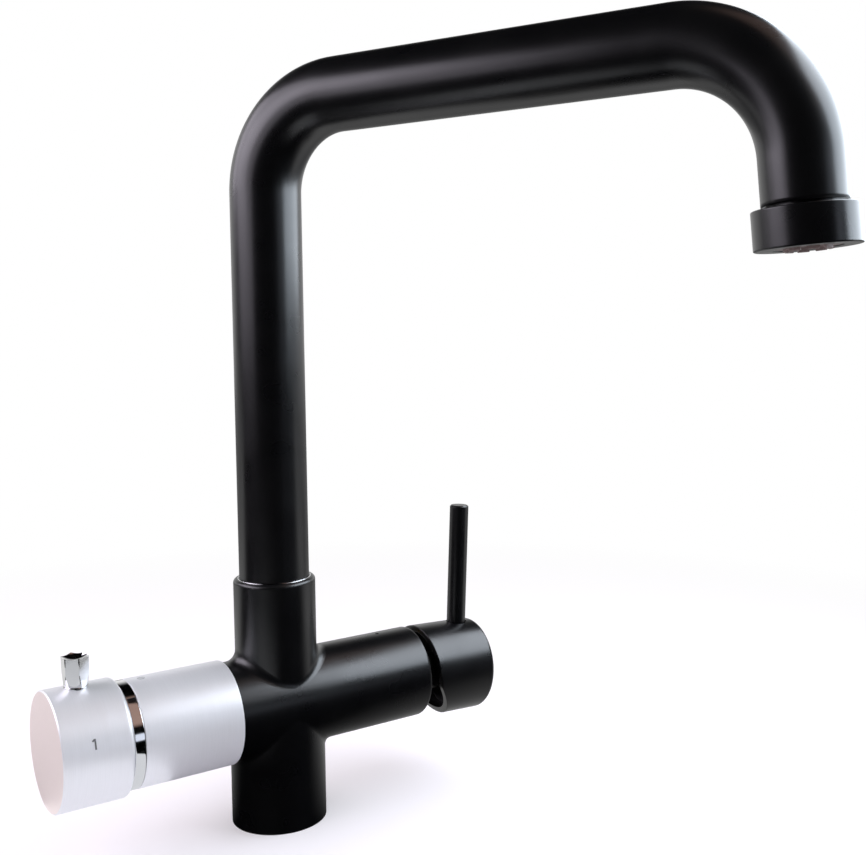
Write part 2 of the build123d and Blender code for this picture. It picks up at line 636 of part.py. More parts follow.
def mixer_turret():
    """The turning carrier in the cartridge: slotted for the stem, drilled for its pin, with a stop lug."""
    turret = rod_x(MIXER_SHELL_BORE - RUN, TURRET_START, TURRET_END)
    lug = rod_x(MIXER_SHELL_BORE + LUG_HEIGHT, TURRET_END - LUG_LENGTH, TURRET_END)
    turret += lug & sector_x(LUG_ANGLE, MIXER_SHELL_R, TURRET_START, TURRET_END)
    half_slot = BALL_ARM * sin(radians(LEVER_LEAN + LEVER_TRAVEL)) + STEM_BALL_R + SOCKET_SLACK
    middle = (TURRET_START + TURRET_END) / 2
    slot = Box(TURRET_END - TURRET_START + 2 * PAST, STEM_SQUARE + 2 * FREE, 2 * half_slot)
    turret -= Pos(middle, 0, ARM_HEIGHT) * slot
    return turret - rod_y(PIVOT_PIN_R + FIT, MIXER_SHELL_BORE, PIVOT_DISTANCE)


def pivot_pin():
    """The cross pin that the stem tips on."""
    return rod_y(PIVOT_PIN_R, MIXER_SHELL_BORE - PIVOT_PIN_R, PIVOT_DISTANCE)


def mixer_stem():
    """The stem: ball end in the disc's socket, round neck, and a square from the pivot to the knob's hub."""
    length = STEM_END - STEM_SQUARE_START
    stem = Pos(STEM_SQUARE_START + length / 2, 0, ARM_HEIGHT) * Box(length, STEM_SQUARE, STEM_SQUARE)
    stem += rod_x(STEM_NECK_R, BALL_DISTANCE, STEM_SQUARE_START + PAST)
    stem += Pos(BALL_DISTANCE, 0, ARM_HEIGHT) * Sphere(STEM_BALL_R)
    stem -= rod_y(PIVOT_PIN_R + RUN, STEM_SQUARE, PIVOT_DISTANCE)
    return lean(stem)


def mixer_nut():
    """The brass ring nut that holds the cartridge down, with two key slots."""
    nut = ring_x(MIXER_NUT_R, MIXER_NUT_BORE, MIXER_SHELL_END, MIXER_NUT_END)
    slot = Box(2 * NUT_SLOT_DEPTH, MIXER_NUT_SLOT, 3 * MIXER_NUT_R)
    return nut - Pos(MIXER_NUT_END, 0, ARM_HEIGHT) * slot


def mixer_dome():
    """The black dome over the nut, seen through the gap between the arm and the knob."""
    start = MIXER_NUT_END + FIT
    rim = MIXER_NUT_R - FREE
    centre = Pos(PIVOT_DISTANCE, 0, ARM_HEIGHT) * Rot(0, 90, 0)
    dome = (centre * Sphere(DOME_R)) & rod_x(rim, start, PIVOT_DISTANCE + DOME_R + PAST)
    dome -= centre * Sphere(DOME_R - DOME_WALL)
    dome += ring_x(rim, rim - 2 * DOME_WALL, start, start + DOME_WALL)
    dome -= rod_x(DOME_OPENING_R, start - PAST, PIVOT_DISTANCE + DOME_R + 2 * PAST)
    return dome


def lever_knob():
    """The mixer knob: a cup with a hub and a solid outer end, its rim cut back below so that it can tip."""
    rim_top = MIXER_ARM_END + GAP_AT_TOP
    knob = rod_x(LEVER_KNOB_R, rim_top, LEVER_KNOB_END)
    knob = fillet(edges_at(knob, "X", LEVER_KNOB_END, LEVER_KNOB_R), LEVER_KNOB_ROUND)
    hub = rod_x(HUB_R, HUB_START, LEVER_KNOB_SOLID + PAST)
    knob -= rod_x(LEVER_KNOB_BORE, rim_top - PAST, LEVER_KNOB_SOLID) - hub
    knob -= rim_cut()
    socket = STEM_SQUARE + 2 * FIT
    square_hole = Box(STEM_END - HUB_START + 2 * FIT, socket, socket)
    knob -= Pos((STEM_END + HUB_START) / 2, 0, ARM_HEIGHT) * square_hole
    top = ARM_HEIGHT + LEVER_KNOB_R
    seat = top - ROD_SEAT_DEPTH
    knob -= rod_z(ROD_OD / 2 + ROD_SEAT_RIM, seat, top + PAST, ROD_DISTANCE)
    knob -= rod_z(ROD_SPIGOT_R + FIT, seat - ROD_SPIGOT - FREE, top, ROD_DISTANCE)
    knob -= rod_z(LEVER_SCREW_R + FIT, ARM_HEIGHT - HUB_R - PAST, ARM_HEIGHT, LEVER_SCREW_DISTANCE)
    return lean(knob)


def rim_cut():
    """What the knob's rim leaves free, from the side: a slight slant, then a steep one below the fold."""
    bottom_slope = (GAP_AT_BOTTOM - GAP_AT_FOLD) / (LEVER_KNOB_R - RIM_FOLD)
    low = -LEVER_KNOB_R - PAST
    corners = [
        (MIXER_ARM_END, -low),
        (MIXER_ARM_END + GAP_AT_TOP, -low),
        (MIXER_ARM_END + GAP_AT_TOP, LEVER_KNOB_R),
        (MIXER_ARM_END + GAP_AT_FOLD, -RIM_FOLD),
        (MIXER_ARM_END + GAP_AT_BOTTOM + PAST * bottom_slope, low),
        (MIXER_ARM_END, low),
    ]
    side_view = make_face(Polyline(*[(x, 0, ARM_HEIGHT + z) for x, z in corners], close=True))
    return extrude(side_view, LEVER_KNOB_OD, both=True)


def lever_rod():
    """The upright lever with its chamfered top and the threaded spigot in the knob."""
    seat = ARM_HEIGHT + LEVER_KNOB_R - ROD_SEAT_DEPTH
    rod = rod_z(ROD_OD / 2, seat, ARM_HEIGHT + ROD_TOP, ROD_DISTANCE)
    top = edges_at(rod, "Z", ARM_HEIGHT + ROD_TOP, ROD_OD / 2)
    rod = chamfer(top, ROD_CHAMFER)
    return lean(rod + rod_z(ROD_SPIGOT_R, seat - ROD_SPIGOT, seat, ROD_DISTANCE))


def grub_screw(radius, length):
    """A plain grub screw along Z with a hexagon socket in its lower end."""
    screw = Cylinder(radius, length, align=AXIS_MIN)
    screw = chamfer(screw.edges().filter_by(GeomType.CIRCLE), GRUB_CHAMFER)
    return screw - extrude(RegularPolygon(radius / 2, 6, major_radius=False), GRUB_SOCKET_DEPTH)


def lever_grub_screw():
    """The screw under the mixer knob that clamps the stem."""
    top = ARM_HEIGHT - STEM_SQUARE / 2 - FIT
    screw = grub_screw(LEVER_SCREW_R, LEVER_SCREW_LENGTH)
    return lean(Pos(LEVER_SCREW_DISTANCE, 0, top - LEVER_SCREW_LENGTH) * screw)


def selector_ports():
    """The holes through the selector's fixed pieces: the outlet in the middle, with three inlets round it."""
    low, high = SEAT_DISTANCE - PAST, SELECTOR_DISC_START + DISC_THICKNESS + PAST
    holes = rod_x(FILTER_WAY_R, -low, -high)
    for x, y, _ in port_places()[2:4]:
        holes += rod_x(FILTER_WAY_R, -low, -high, y, SIDE_PORT_LEVEL)
    return holes + rod_x(FILTER_WAY_R, -low, -high, 0, BACK_PORT_LEVEL)


def selector_cartridge():
    """The fixed parts of the selector cartridge: gasket, shell and fixed ceramic disc."""
    shell_start = SEAT_DISTANCE + SELECTOR_GASKET
    gasket = rod_x(SELECTOR_SHELL_R - FREE, -SEAT_DISTANCE, -shell_start) - selector_ports()
    shell = rod_x(SELECTOR_SHELL_R, -shell_start, -SELECTOR_SHELL_END)
    shell -= rod_x(SELECTOR_SHELL_BORE, -SELECTOR_DISC_START, -SELECTOR_SHELL_END - PAST)
    disc_end = SELECTOR_DISC_START + DISC_THICKNESS
    track = ring_x(
        SELECTOR_SHELL_BORE + LUG_HEIGHT + FREE,
        SELECTOR_SHELL_BORE - PAST,
        -disc_end - DISC_THICKNESS,
        -SELECTOR_SHELL_END - PAST,
    )
    half_key = (360.0 - SELECTOR_FORWARD - SELECTOR_BACK) / 2 - LUG_ANGLE - STOP_MARGIN
    key_turn = (SELECTOR_FORWARD - SELECTOR_BACK) / 2
    shell -= track - sector_x(half_key, SELECTOR_SHELL_R, -disc_end, -SELECTOR_SHELL_END - 2 * PAST, key_turn)
    shell -= selector_ports()
    disc = rod_x(SELECTOR_SHELL_BORE - FIT, -SELECTOR_DISC_START, -disc_end) - selector_ports()
    return gasket, shell, disc


def selector_turning():
    """The turning parts of the selector: the disc, whose channel joins outlet and inlet, and the spindle."""
    disc_start = SELECTOR_DISC_START + DISC_THICKNESS + FIT
    disc_end = disc_start + DISC_THICKNESS
    disc = rod_x(SELECTOR_SHELL_BORE - FREE, -disc_start, -disc_end)
    channel = Box(2 * SELECTOR_CHANNEL, 2 * FILTER_WAY_R, PORT_CIRCLE)
    disc -= Pos(-disc_start, 0, ARM_HEIGHT + PORT_CIRCLE / 2) * channel
    for level in (ARM_HEIGHT, ARM_HEIGHT + PORT_CIRCLE):
        disc -= rod_x(FILTER_WAY_R, -disc_start + PAST, -disc_start - SELECTOR_CHANNEL, 0, level)
    flange_end = disc_end + SELECTOR_FLANGE
    spindle = rod_x(SELECTOR_SHELL_BORE - RUN, -disc_end, -flange_end)
    lug = rod_x(SELECTOR_SHELL_BORE + LUG_HEIGHT, -flange_end + LUG_LENGTH, -flange_end)
    spindle += lug & sector_x(LUG_ANGLE, SELECTOR_SHELL_R, -disc_end, -flange_end, 180.0)
    spindle += rod_x(SELECTOR_SHAFT_R, -flange_end, -SPLINE_START)
    tail = rod_x(SPLINE_R, -SPLINE_START, -SPLINE_END)
    flat = Pos(-(SPLINE_START + SPLINE_END) / 2, 0, ARM_HEIGHT - SPLINE_FLAT_HEIGHT - SPLINE_R)
    tail -= flat * Box(SPLINE_END - SPLINE_START + 2 * PAST, 3 * SPLINE_R, 2 * SPLINE_R)
    return disc, spindle + tail


def selector_nut():
    """The ring nut that holds the selector cartridge down and guides its spindle."""
    nut = ring_x(SELECTOR_NUT_R, SELECTOR_SHAFT_R + RUN, -SELECTOR_SHELL_END, -SELECTOR_NUT_END)
    slot = Box(2 * NUT_SLOT_DEPTH, SELECTOR_NUT_SLOT, 3 * SELECTOR_NUT_R)
    return nut - Pos(-SELECTOR_NUT_END, 0, ARM_HEIGHT) * slot


def selector_sleeve():
    """The satin aluminium sleeve over the left arm, with a small index dot on top."""
    inner = SLEEVE_R - SLEEVE_WALL
    sleeve = rod_x(SLEEVE_R, -SLEEVE_START, -SLEEVE_END)
    for place in (-SLEEVE_START, -SLEEVE_END):
        sleeve = chamfer(edges_at(sleeve, "X", place, SLEEVE_R), SLEEVE_CHAMFER)
    sleeve -= rod_x(inner, -SLEEVE_START + PAST, -SLEEVE_END - PAST)
    top = ARM_HEIGHT + SLEEVE_R
    return sleeve - rod_z(INDEX_DOT_R, top - PIP_DEPTH, top + PAST, -INDEX_DOT_DISTANCE)


def bezel_ring():
    """The polished ring between the sleeve and the selector knob, stepped to sit inside the sleeve."""
    outer = BEZEL_OD / 2
    spigot = SLEEVE_R - SLEEVE_WALL - FIT
    ring = ring_x(outer, outer - BEZEL_WALL, -SLEEVE_END - FIT, -BEZEL_END)
    return ring + ring_x(spigot, outer - BEZEL_WALL, -SELECTOR_ARM_END - FIT, -SLEEVE_END - FIT)


def selector_knob():
    """The satin aluminium selector knob: a cup with a hub, a solid outer end and holes for pin and screw."""
    knob = rod_x(SELECTOR_KNOB_R, -SELECTOR_KNOB_START, -SELECTOR_KNOB_END)
    knob = fillet(edges_at(knob, "X", -SELECTOR_KNOB_START, SELECTOR_KNOB_R), SELECTOR_KNOB_ROUND)
    knob = chamfer(edges_at(knob, "X", -SELECTOR_KNOB_END, SELECTOR_KNOB_R), SELECTOR_KNOB_CHAMFER)
    bore = SELECTOR_KNOB_R - SELECTOR_KNOB_WALL
    hub_start = SELECTOR_KNOB_START + HUB_SLACK
    hollow = rod_x(bore, -SELECTOR_KNOB_START + PAST, -SELECTOR_KNOB_SOLID)
    knob -= hollow - rod_x(HUB_R, -hub_start, -SELECTOR_KNOB_SOLID - PAST)
    knob -= rod_x(SPLINE_R + FIT, -SELECTOR_KNOB_START, -SPLINE_END - FIT)
    top = ARM_HEIGHT + SELECTOR_KNOB_R
    seat = top - ROD_SEAT_DEPTH
    knob -= rod_z(PIN_FOOT_R + FIT, seat, top + PAST, -PIN_DISTANCE)
    knob -= rod_z(PIN_SPIGOT_R + FIT, seat - PIN_SPIGOT - FREE, top, -PIN_DISTANCE)
    below = ARM_HEIGHT - SELECTOR_KNOB_R - PAST
    return knob - rod_z(SELECTOR_SCREW_R + FIT, below, ARM_HEIGHT, -PIN_DISTANCE)


def selector_pin():
    """The polished pin on the selector knob: round foot, six flats with pointed ends and a dished top."""
    seat = ARM_HEIGHT + SELECTOR_KNOB_R - ROD_SEAT_DEPTH
    top = ARM_HEIGHT + PIN_TOP
    flats_low = seat + PIN_FOOT
    ends = []
    for level, flats in ((flats_low, PIN_FLATS_FOOT), (top, PIN_FLATS_TOP)):
        hexagon = RegularPolygon(flats / 2, 6, major_radius=False, rotation=PIN_TURN)
        ends.append(Pos(0, 0, level) * hexagon)
    shaft = loft(ends)
    height = top - flats_low
    corner_r = PIN_FLATS_FOOT / 2 / cos(pi / 6)
    cone_top = PIN_NECK_R + (corner_r - PIN_NECK_R) * height / PIN_ARCH
    cone = Pos(0, 0, flats_low + height / 2) * Cone(PIN_NECK_R, cone_top, height)
    shaft = shaft & cone
    shaft -= Pos(0, 0, top + PIN_DISH_R - PIN_DISH_DEPTH) * Sphere(PIN_DISH_R)
    pin = shaft + rod_z(PIN_FOOT_R, seat, flats_low) + rod_z(PIN_SPIGOT_R, seat - PIN_SPIGOT, seat)
    return Pos(-PIN_DISTANCE, 0, 0) * pin


def selector_grub_screw():
    """The screw under the selector knob that clamps the spindle's flat."""
    top = ARM_HEIGHT - SPLINE_FLAT_HEIGHT - FIT
    screw = grub_screw(SELECTOR_SCREW_R, SELECTOR_SCREW_LENGTH)
    return Pos(-PIN_DISTANCE, 0, top - SELECTOR_SCREW_LENGTH) * screw


def save(name, *shapes):
    """Writes one sub-part, of one or more separate solids."""
    shape = shapes[0] if len(shapes) == 1 else Compound(children=list(shapes))
    export_step(shape, os.path.join("parts", name + ".step"))
    print(name, round(shape.volume), "mm3")


os.makedirs("parts", exist_ok=True)

rubber_washer, steel_washer = worktop_washers()
aerator_gasket, aerator_housing, aerator_screens, flow_straightener = aerator_pieces()
mixer_gasket, mixer_shell, mixer_fixed_disc = mixer_cartridge()
selector_gasket, selector_shell, selector_fixed_disc = selector_cartridge()
selector_moving_disc, selector_spindle = selector_turning()
web_inside = INSERT_NECK - FREE
water_tube_bottom = FERRULE_FLOOR - TUBE_SOCKET_DEPTH + FREE
bearing_washer = ring_z(TUBE_R, FERRULE_R + FREE, SPOUT_SEAT, SPOUT_SEAT + BEARING_WASHER_THICKNESS)

save("body_casting", body_casting())
save("base_seal", base_seal())
save("threaded_shank", threaded_shank())
save("worktop_rubber_washer", rubber_washer)
save("worktop_steel_washer", steel_washer)
save("clamp_nut", clamp_nut())
save("spout_tube", bent_tube(TUBE_R, TUBE_WALL, TUBE_BOTTOM))
save("filtered_water_tube", bent_tube(WATER_TUBE_R, WATER_TUBE_WALL, water_tube_bottom, web_inside))
save("spout_ferrule", spout_ferrule())
save("spout_o_rings", *spout_o_rings())
save("spout_bearing_washer", bearing_washer)
save("swivel_ring", swivel_ring())
save("spout_stop_screw", stop_screw())
save("nozzle_insert", nozzle_insert())
save("nozzle_collar", nozzle_collar())
save("aerator_gasket", aerator_gasket)
save("aerator_housing", aerator_housing)
save("aerator_screens", *aerator_screens)
save("flow_straightener", flow_straightener)
save("mixer_gasket", mixer_gasket)
save("mixer_cartridge_shell", mixer_shell)
save("mixer_fixed_disc", mixer_fixed_disc)
save("mixer_moving_disc", moving_disc())
save("mixer_turret", mixer_turret())
save("mixer_pivot_pin", pivot_pin())
save("mixer_stem", mixer_stem())
save("mixer_nut", mixer_nut())
save("mixer_dome", mixer_dome())
save("lever_knob", lever_knob())
save("lever_rod", lever_rod())
save("lever_grub_screw", lever_grub_screw())
save("selector_gasket", selector_gasket)
save("selector_cartridge_shell", selector_shell)
save("selector_fixed_disc", selector_fixed_disc)
save("selector_moving_disc", selector_moving_disc)
save("selector_spindle", selector_spindle)
save("selector_nut", selector_nut())
save("selector_sleeve", selector_sleeve())
save("bezel_ring", bezel_ring())
save("selector_knob", selector_knob())
save("selector_pin", selector_pin())
save("selector_grub_screw", selector_grub_screw())
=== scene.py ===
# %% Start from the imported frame
import json
import bmesh
import bpy
import numpy as np
from mathutils import Matrix, Vector


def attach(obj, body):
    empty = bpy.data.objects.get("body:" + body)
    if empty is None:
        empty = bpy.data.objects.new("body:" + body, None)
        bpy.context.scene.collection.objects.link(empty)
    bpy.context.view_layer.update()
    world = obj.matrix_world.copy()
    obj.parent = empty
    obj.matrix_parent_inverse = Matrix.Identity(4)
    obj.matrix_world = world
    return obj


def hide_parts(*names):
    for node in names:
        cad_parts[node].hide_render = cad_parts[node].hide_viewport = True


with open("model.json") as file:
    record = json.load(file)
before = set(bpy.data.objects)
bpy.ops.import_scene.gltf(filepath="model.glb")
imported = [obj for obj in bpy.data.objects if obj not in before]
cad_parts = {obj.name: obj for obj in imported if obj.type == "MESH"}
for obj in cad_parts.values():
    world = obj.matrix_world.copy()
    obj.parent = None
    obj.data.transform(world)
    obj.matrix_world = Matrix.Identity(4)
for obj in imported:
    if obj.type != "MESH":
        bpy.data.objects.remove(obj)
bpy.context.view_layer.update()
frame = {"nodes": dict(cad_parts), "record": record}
NODES = frame["nodes"]
BODIES = frame["record"]["behaviour"]["bodies"]
BODY_OF = {node: body for body, names in BODIES.items() for node in names}
MM = 0.001

# %% [markdown]
# The object is a kitchen tap for five waters. A black, powder-coated brass body carries a square swivelling
# spout, a mixer lever on its right arm, and on its left arm a satin aluminium sleeve with a selector knob.
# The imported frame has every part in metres, with the origin under the middle of the base. Here each visible
# part gets the surface and the finish that it has in a shop photograph. Sizes are named once, in
# millimetres.

# %% Sizes that several pieces share
ARM_HEIGHT = 52.0
FIT = 0.05
EDGE = 0.12
HOLD = 0.25
COLUMNS = 144
ARC_STEPS = 8

# %% [markdown]
# Most parts of a tap are turned on a lathe, so one function makes them all: a profile of distances and
# radii is carried round an axis. It could be drawn by hand and spun, but a formula gives clean rows and an
# exact place. Real edges are never perfectly sharp, so every profile first gets round corners, which catch
# the light. A point a quarter of a millimetre outside each round keeps the flat beside it flat in the
# light.

# %% Profiles with round corners


def unit(vector):
    """A vector divided by its length."""
    vector = np.asarray(vector, float)
    return vector / np.linalg.norm(vector)


def round_corner(before, corner, after, radius, steps=ARC_STEPS):
    """The points of one round corner.

    Where the line turns by an angle a, the round starts and ends r tan(a / 2) from the corner. Between the
    two spokes p and q from its centre, the point at share s is (p sin((1 - s) a) + q sin(s a)) / sin a.
    """
    back, on = unit(before - corner), unit(after - corner)
    turn = np.pi - np.arccos(np.clip(back @ on, -1, 1))
    setback = radius * np.tan(turn / 2)
    centre = corner + unit(back + on) * radius / np.cos(turn / 2)
    first, last = corner + back * setback - centre, corner + on * setback - centre
    share = np.linspace(0, 1, steps + 1)[:, None]
    arc = (first * np.sin((1 - share) * turn) + last * np.sin(share * turn)) / np.sin(turn)
    hold_in = corner + back * (setback + HOLD)
    hold_out = corner + on * (setback + HOLD)
    return np.vstack([hold_in, centre + arc, hold_out])


def rounded(corners, closed=False):
    """A profile from corners (along, radius, round): each becomes its round, EDGE where none is given."""
    places = np.array([c[:2] for c in corners], float)
    rounds = [c[2] if len(c) > 2 else EDGE for c in corners]
    count = len(corners)
    pieces = []
    for i in range(count):
        if closed or 0 < i < count - 1:
            pieces.append(round_corner(places[i - 1], places[i], places[(i + 1) % count], rounds[i]))
        else:
            pieces.append(places[i][None])
    return np.vstack(pieces)


# %% [markdown]
# Every surface is a grid of points: rows along the piece, columns round it. Blender's own cylinders and
# spheres would be quicker, but on a grid the rows lie where the shape needs them. Where a grid meets
# itself, or shrinks to a point on the axis, its doubled points are merged, so that the piece has no open
# seam.

# %% Surfaces on a grid
DOUBLED = 0.0005
SHARP_EDGE = np.radians(35)


def full_turn(columns):
    """Even angles once round."""
    return np.linspace(0, 2 * np.pi, columns, endpoint=False)


def grid_faces(rows, columns, rows_meet=False, columns_meet=True):
    """Quads of a grid: (i, j), (i, j + 1), (i + 1, j + 1), (i + 1, j), wrapped round where it meets."""
    starts = np.arange(rows - (not rows_meet)), np.arange(columns - (not columns_meet))
    i, j = (index.ravel() for index in np.meshgrid(*starts, indexing="ij"))
    below, right = (i + 1) % rows, (j + 1) % columns
    corners = [i * columns + j, i * columns + right, below * columns + right, below * columns + j]
    return np.stack(corners, axis=1)


def make_piece(name, points, faces, smooth=True):
    """A mesh object from points in millimetres, its doubled points merged and its faces turned outwards."""
    mesh = bpy.data.meshes.new(name)
    mesh.from_pydata((points.reshape(-1, 3) * MM).tolist(), [], faces.tolist())
    net = bmesh.new()
    net.from_mesh(mesh)
    bmesh.ops.remove_doubles(net, verts=net.verts, dist=DOUBLED * MM)
    bmesh.ops.recalc_face_normals(net, faces=net.faces)
    for face in net.faces:
        face.smooth = smooth
    net.to_mesh(mesh)
    net.free()
    piece = bpy.data.objects.new(name, mesh)
    bpy.context.scene.collection.objects.link(piece)
    print(name, len(mesh.polygons), "faces, size in mm", np.round(np.array(piece.dimensions) / MM, 1))
    return piece


def around(profile, origin, axis, columns=COLUMNS):
    """Points of a turned surface: origin + along * axis + radius * (cos a * side + sin a * other side)."""
    along, radius = profile[:, 0, None, None], profile[:, 1, None, None]
    axis = unit(axis)
    side = unit(np.cross(axis, (0, 1, 0)))
    other = np.cross(axis, side)
    angle = full_turn(columns)[None, :, None]
    return np.asarray(origin) + along * axis + radius * (np.cos(angle) * side + np.sin(angle) * other)


def turned(name, corners, origin, axis, closed=False, move=None, columns=COLUMNS):
    """A lathe piece: its rounded profile carried round the axis, then moved if a function is given."""
    profile = rounded(corners, closed)
    points = around(profile, origin, axis, columns)
    if move:
        points = move(points)
    return make_piece(name, points, grid_faces(len(profile), columns, rows_meet=closed))


def stands_for(piece, node):
    """Puts a piece in the place of a CAD part: on the same body, with the part hidden."""
    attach(piece, BODY_OF[node])
    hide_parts(node)


def cut_away(piece, cutter):
    """Takes the cutter's shape out of the piece, marks the new edges as sharp and deletes the cutter."""
    boolean = piece.modifiers.new("cut", "BOOLEAN")
    boolean.object, boolean.solver = cutter, "EXACT"
    bpy.context.view_layer.update()
    result = piece.evaluated_get(bpy.context.evaluated_depsgraph_get())
    mesh = bpy.data.meshes.new_from_object(result)
    mesh.name = piece.name
    piece.modifiers.clear()
    piece.data = mesh
    mesh.set_sharp_from_angle(angle=SHARP_EDGE)
    bpy.data.objects.remove(cutter)


# %% [markdown]
# The spout is one bent tube. A curve object with a bevel would do, but its bends are only near arcs. Here
# the tube follows its own heading instead: straight up, 88 degrees over to the bridge, 87 degrees down to
# the nozzle. On a run the heading stays the same, in a bend it changes evenly with the distance, and the
# running sum of the steps in that heading is the centreline, as a bending machine makes it.

# %% The spout tube
TUBE_R = 15.0
TUBE_WALL = 1.5
SPOUT_HEIGHT = 310.0
SPOUT_REACH = 221.0
SPOUT_RISE = np.radians(2.0)
NOZZLE_CANT = np.radians(5.0)
NOZZLE_DROP = 51.2
FIRST_BEND_R = 39.0
SECOND_BEND_R = 45.0
SPOUT_TURN = np.radians(-62.0)
COLLAR_TOP = 107.5
TUBE_SUNK = 18.0
TUBE_FOOT = COLLAR_TOP - TUBE_SUNK
TUBE_COLUMNS = 96
ROW_STEP = 1.6
FINE_POINTS = 8001


def swung(points):
    """Turns points from the XZ plane about Z to where the spout points."""
    x, y, z = np.moveaxis(points, -1, 0)
    c, s = np.cos(SPOUT_TURN), np.sin(SPOUT_TURN)
    return np.stack([c * x - s * y, s * x + c * y, z], axis=-1)


def rows_from(start, end):
    """Even places from a station up to just before the next one, at most ROW_STEP apart."""
    return np.arange(start, end, (end - start) / np.ceil((end - start) / ROW_STEP))


far_corner = SPOUT_HEIGHT + SPOUT_REACH * np.tan(SPOUT_RISE)
nozzle_height = SPOUT_HEIGHT - NOZZLE_DROP
nozzle_out = SPOUT_REACH + (far_corner - nozzle_height) * np.tan(NOZZLE_CANT)
first_turn = np.pi / 2 - SPOUT_RISE
second_turn = np.pi / 2 - NOZZLE_CANT + SPOUT_RISE
first_setback = FIRST_BEND_R * np.tan(first_turn / 2)
second_setback = SECOND_BEND_R * np.tan(second_turn / 2)
runs = [
    SPOUT_HEIGHT - TUBE_FOOT - first_setback,
    FIRST_BEND_R * first_turn,
    SPOUT_REACH / np.cos(SPOUT_RISE) - first_setback - second_setback,
    SECOND_BEND_R * second_turn,
    (far_corner - nozzle_height) / np.cos(NOZZLE_CANT) - second_setback,
]
stations = np.concatenate([[0], np.cumsum(runs)])
headings = [np.pi / 2, np.pi / 2, SPOUT_RISE, SPOUT_RISE, NOZZLE_CANT - np.pi / 2, NOZZLE_CANT - np.pi / 2]
fine = np.linspace(0, stations[-1], FINE_POINTS)
heading = np.interp(fine, stations, headings)
mean_heading = (heading[1:] + heading[:-1]) / 2
line_x = np.concatenate([[0], np.cumsum(np.cos(mean_heading) * fine[1])])
line_z = TUBE_FOOT + np.concatenate([[0], np.cumsum(np.sin(mean_heading) * fine[1])])
run_rows = [rows_from(start, end) for start, end in zip(stations, stations[1:])]
rows = np.concatenate(run_rows + [stations[-1:]])
there_and_back = np.concatenate([rows, rows[::-1]])
tube_x, tube_z, tube_heading = (np.interp(there_and_back, fine, a) for a in (line_x, line_z, heading))
tube_r = np.repeat([TUBE_R, TUBE_R - TUBE_WALL], len(rows))[:, None, None]
centre = np.stack([tube_x, 0 * tube_x, tube_z], axis=-1)[:, None]
across = np.stack([-np.sin(tube_heading), 0 * tube_x, np.cos(tube_heading)], axis=-1)[:, None]
tube_angle = full_turn(TUBE_COLUMNS)[None, :, None]
tube_points = centre + tube_r * (np.cos(tube_angle) * across + np.sin(tube_angle) * np.array([0, 1, 0]))
tube_faces = grid_faces(len(there_and_back), TUBE_COLUMNS, rows_meet=True)
spout = make_piece("spout_tube_skin", swung(tube_points), tube_faces)
stands_for(spout, "spout_tube")
print("tube length", round(stations[-1], 1), "mm, nozzle", round(line_x[-1], 2), round(line_z[-1], 2))

# %% [markdown]
# At the tube's open end a black collar screws on over a narrower neck, so a groove shows between the two.
# The brass neck has the black paint too, painted shade that makes the groove look dark. Under the collar sits
# the aerator with a notched outlet ring. Both are turned about the nozzle's own axis, which leans out by five
# degrees. The notches come from the same formula: where the angle is inside one of the eight notches, the
# ring's lower edge is lifted.

# %% Nozzle collar and outlet
NOZZLE_PLACE = np.array([nozzle_out, 0.0, nozzle_height])
NOZZLE_AXIS = np.array([-np.sin(NOZZLE_CANT), 0.0, np.cos(NOZZLE_CANT)])
NOZZLE_SIDE = np.array([np.cos(NOZZLE_CANT), 0.0, np.sin(NOZZLE_CANT)])
GROOVE = 1.2
NOZZLE_COLLAR_HEIGHT = 13.9
NOZZLE_COLLAR_R = 18.6
NECK_R = 13.0
NECK = 7.3
AERATOR_R = 11.9
collar_low = -GROOVE - NOZZLE_COLLAR_HEIGHT
collar_corners = [
    (-GROOVE, NECK_R + FIT), (-GROOVE, NOZZLE_COLLAR_R, 0.5), (collar_low, NOZZLE_COLLAR_R, 0.6),
    (collar_low, AERATOR_R + FIT, 0.4), (-NECK - FIT, AERATOR_R + FIT), (-NECK - FIT, NECK_R + FIT),
]
nozzle_collar = turned(
    "nozzle_collar_skin", collar_corners, NOZZLE_PLACE, NOZZLE_AXIS, closed=True, move=swung)
stands_for(nozzle_collar, "nozzle_collar")

OUTLET_R = 8.6
OUTLET_WALL = 1.3
OUTLET_DROP = 1.3
OUTLET_LIP = 0.3
OUTLET_COLUMNS = 384
NOTCHES = 8
NOTCH_WIDTH = 2.2
NOTCH_DEPTH = 0.9
NOTCH_SLOPE = 0.12
HOUSING_WALL = 1.4
HOUSING_FLOOR = 1.2
HOUSING_SUNK = 0.4
GASKET = 1.0


def off_middle(angle, pitch):
    """How far an angle is from the nearest whole number of pitches."""
    return np.abs((angle + pitch / 2) % pitch - pitch / 2)


house_top = -NECK - FIT - GASKET
house_low = collar_low + HOUSING_SUNK
house_floor = house_low + HOUSING_FLOOR
outlet_low = house_low - OUTLET_DROP
house_corners = [
    (house_top, AERATOR_R - HOUSING_WALL), (house_top, AERATOR_R), (house_low, AERATOR_R, 0.3),
    (house_low, OUTLET_R, 0.2), (outlet_low, OUTLET_R, 0.25), (outlet_low, OUTLET_R - OUTLET_WALL, 0.25),
    (house_floor, OUTLET_R - OUTLET_WALL), (house_floor, AERATOR_R - HOUSING_WALL),
]
house_profile = rounded(house_corners, closed=True)
house_points = around(house_profile, (0, 0, 0), (0, 0, 1), OUTLET_COLUMNS)
off_notch = off_middle(full_turn(OUTLET_COLUMNS), 2 * np.pi / NOTCHES) * (OUTLET_R - OUTLET_WALL / 2)
in_notch = np.clip((NOTCH_WIDTH / 2 - off_notch) / NOTCH_SLOPE + 0.5, 0, 1)
house_z = house_points[..., 2]
lifted = outlet_low + NOTCH_DEPTH * in_notch + np.minimum(house_z - outlet_low, OUTLET_LIP)
house_points[..., 2] = np.maximum(house_z, lifted)
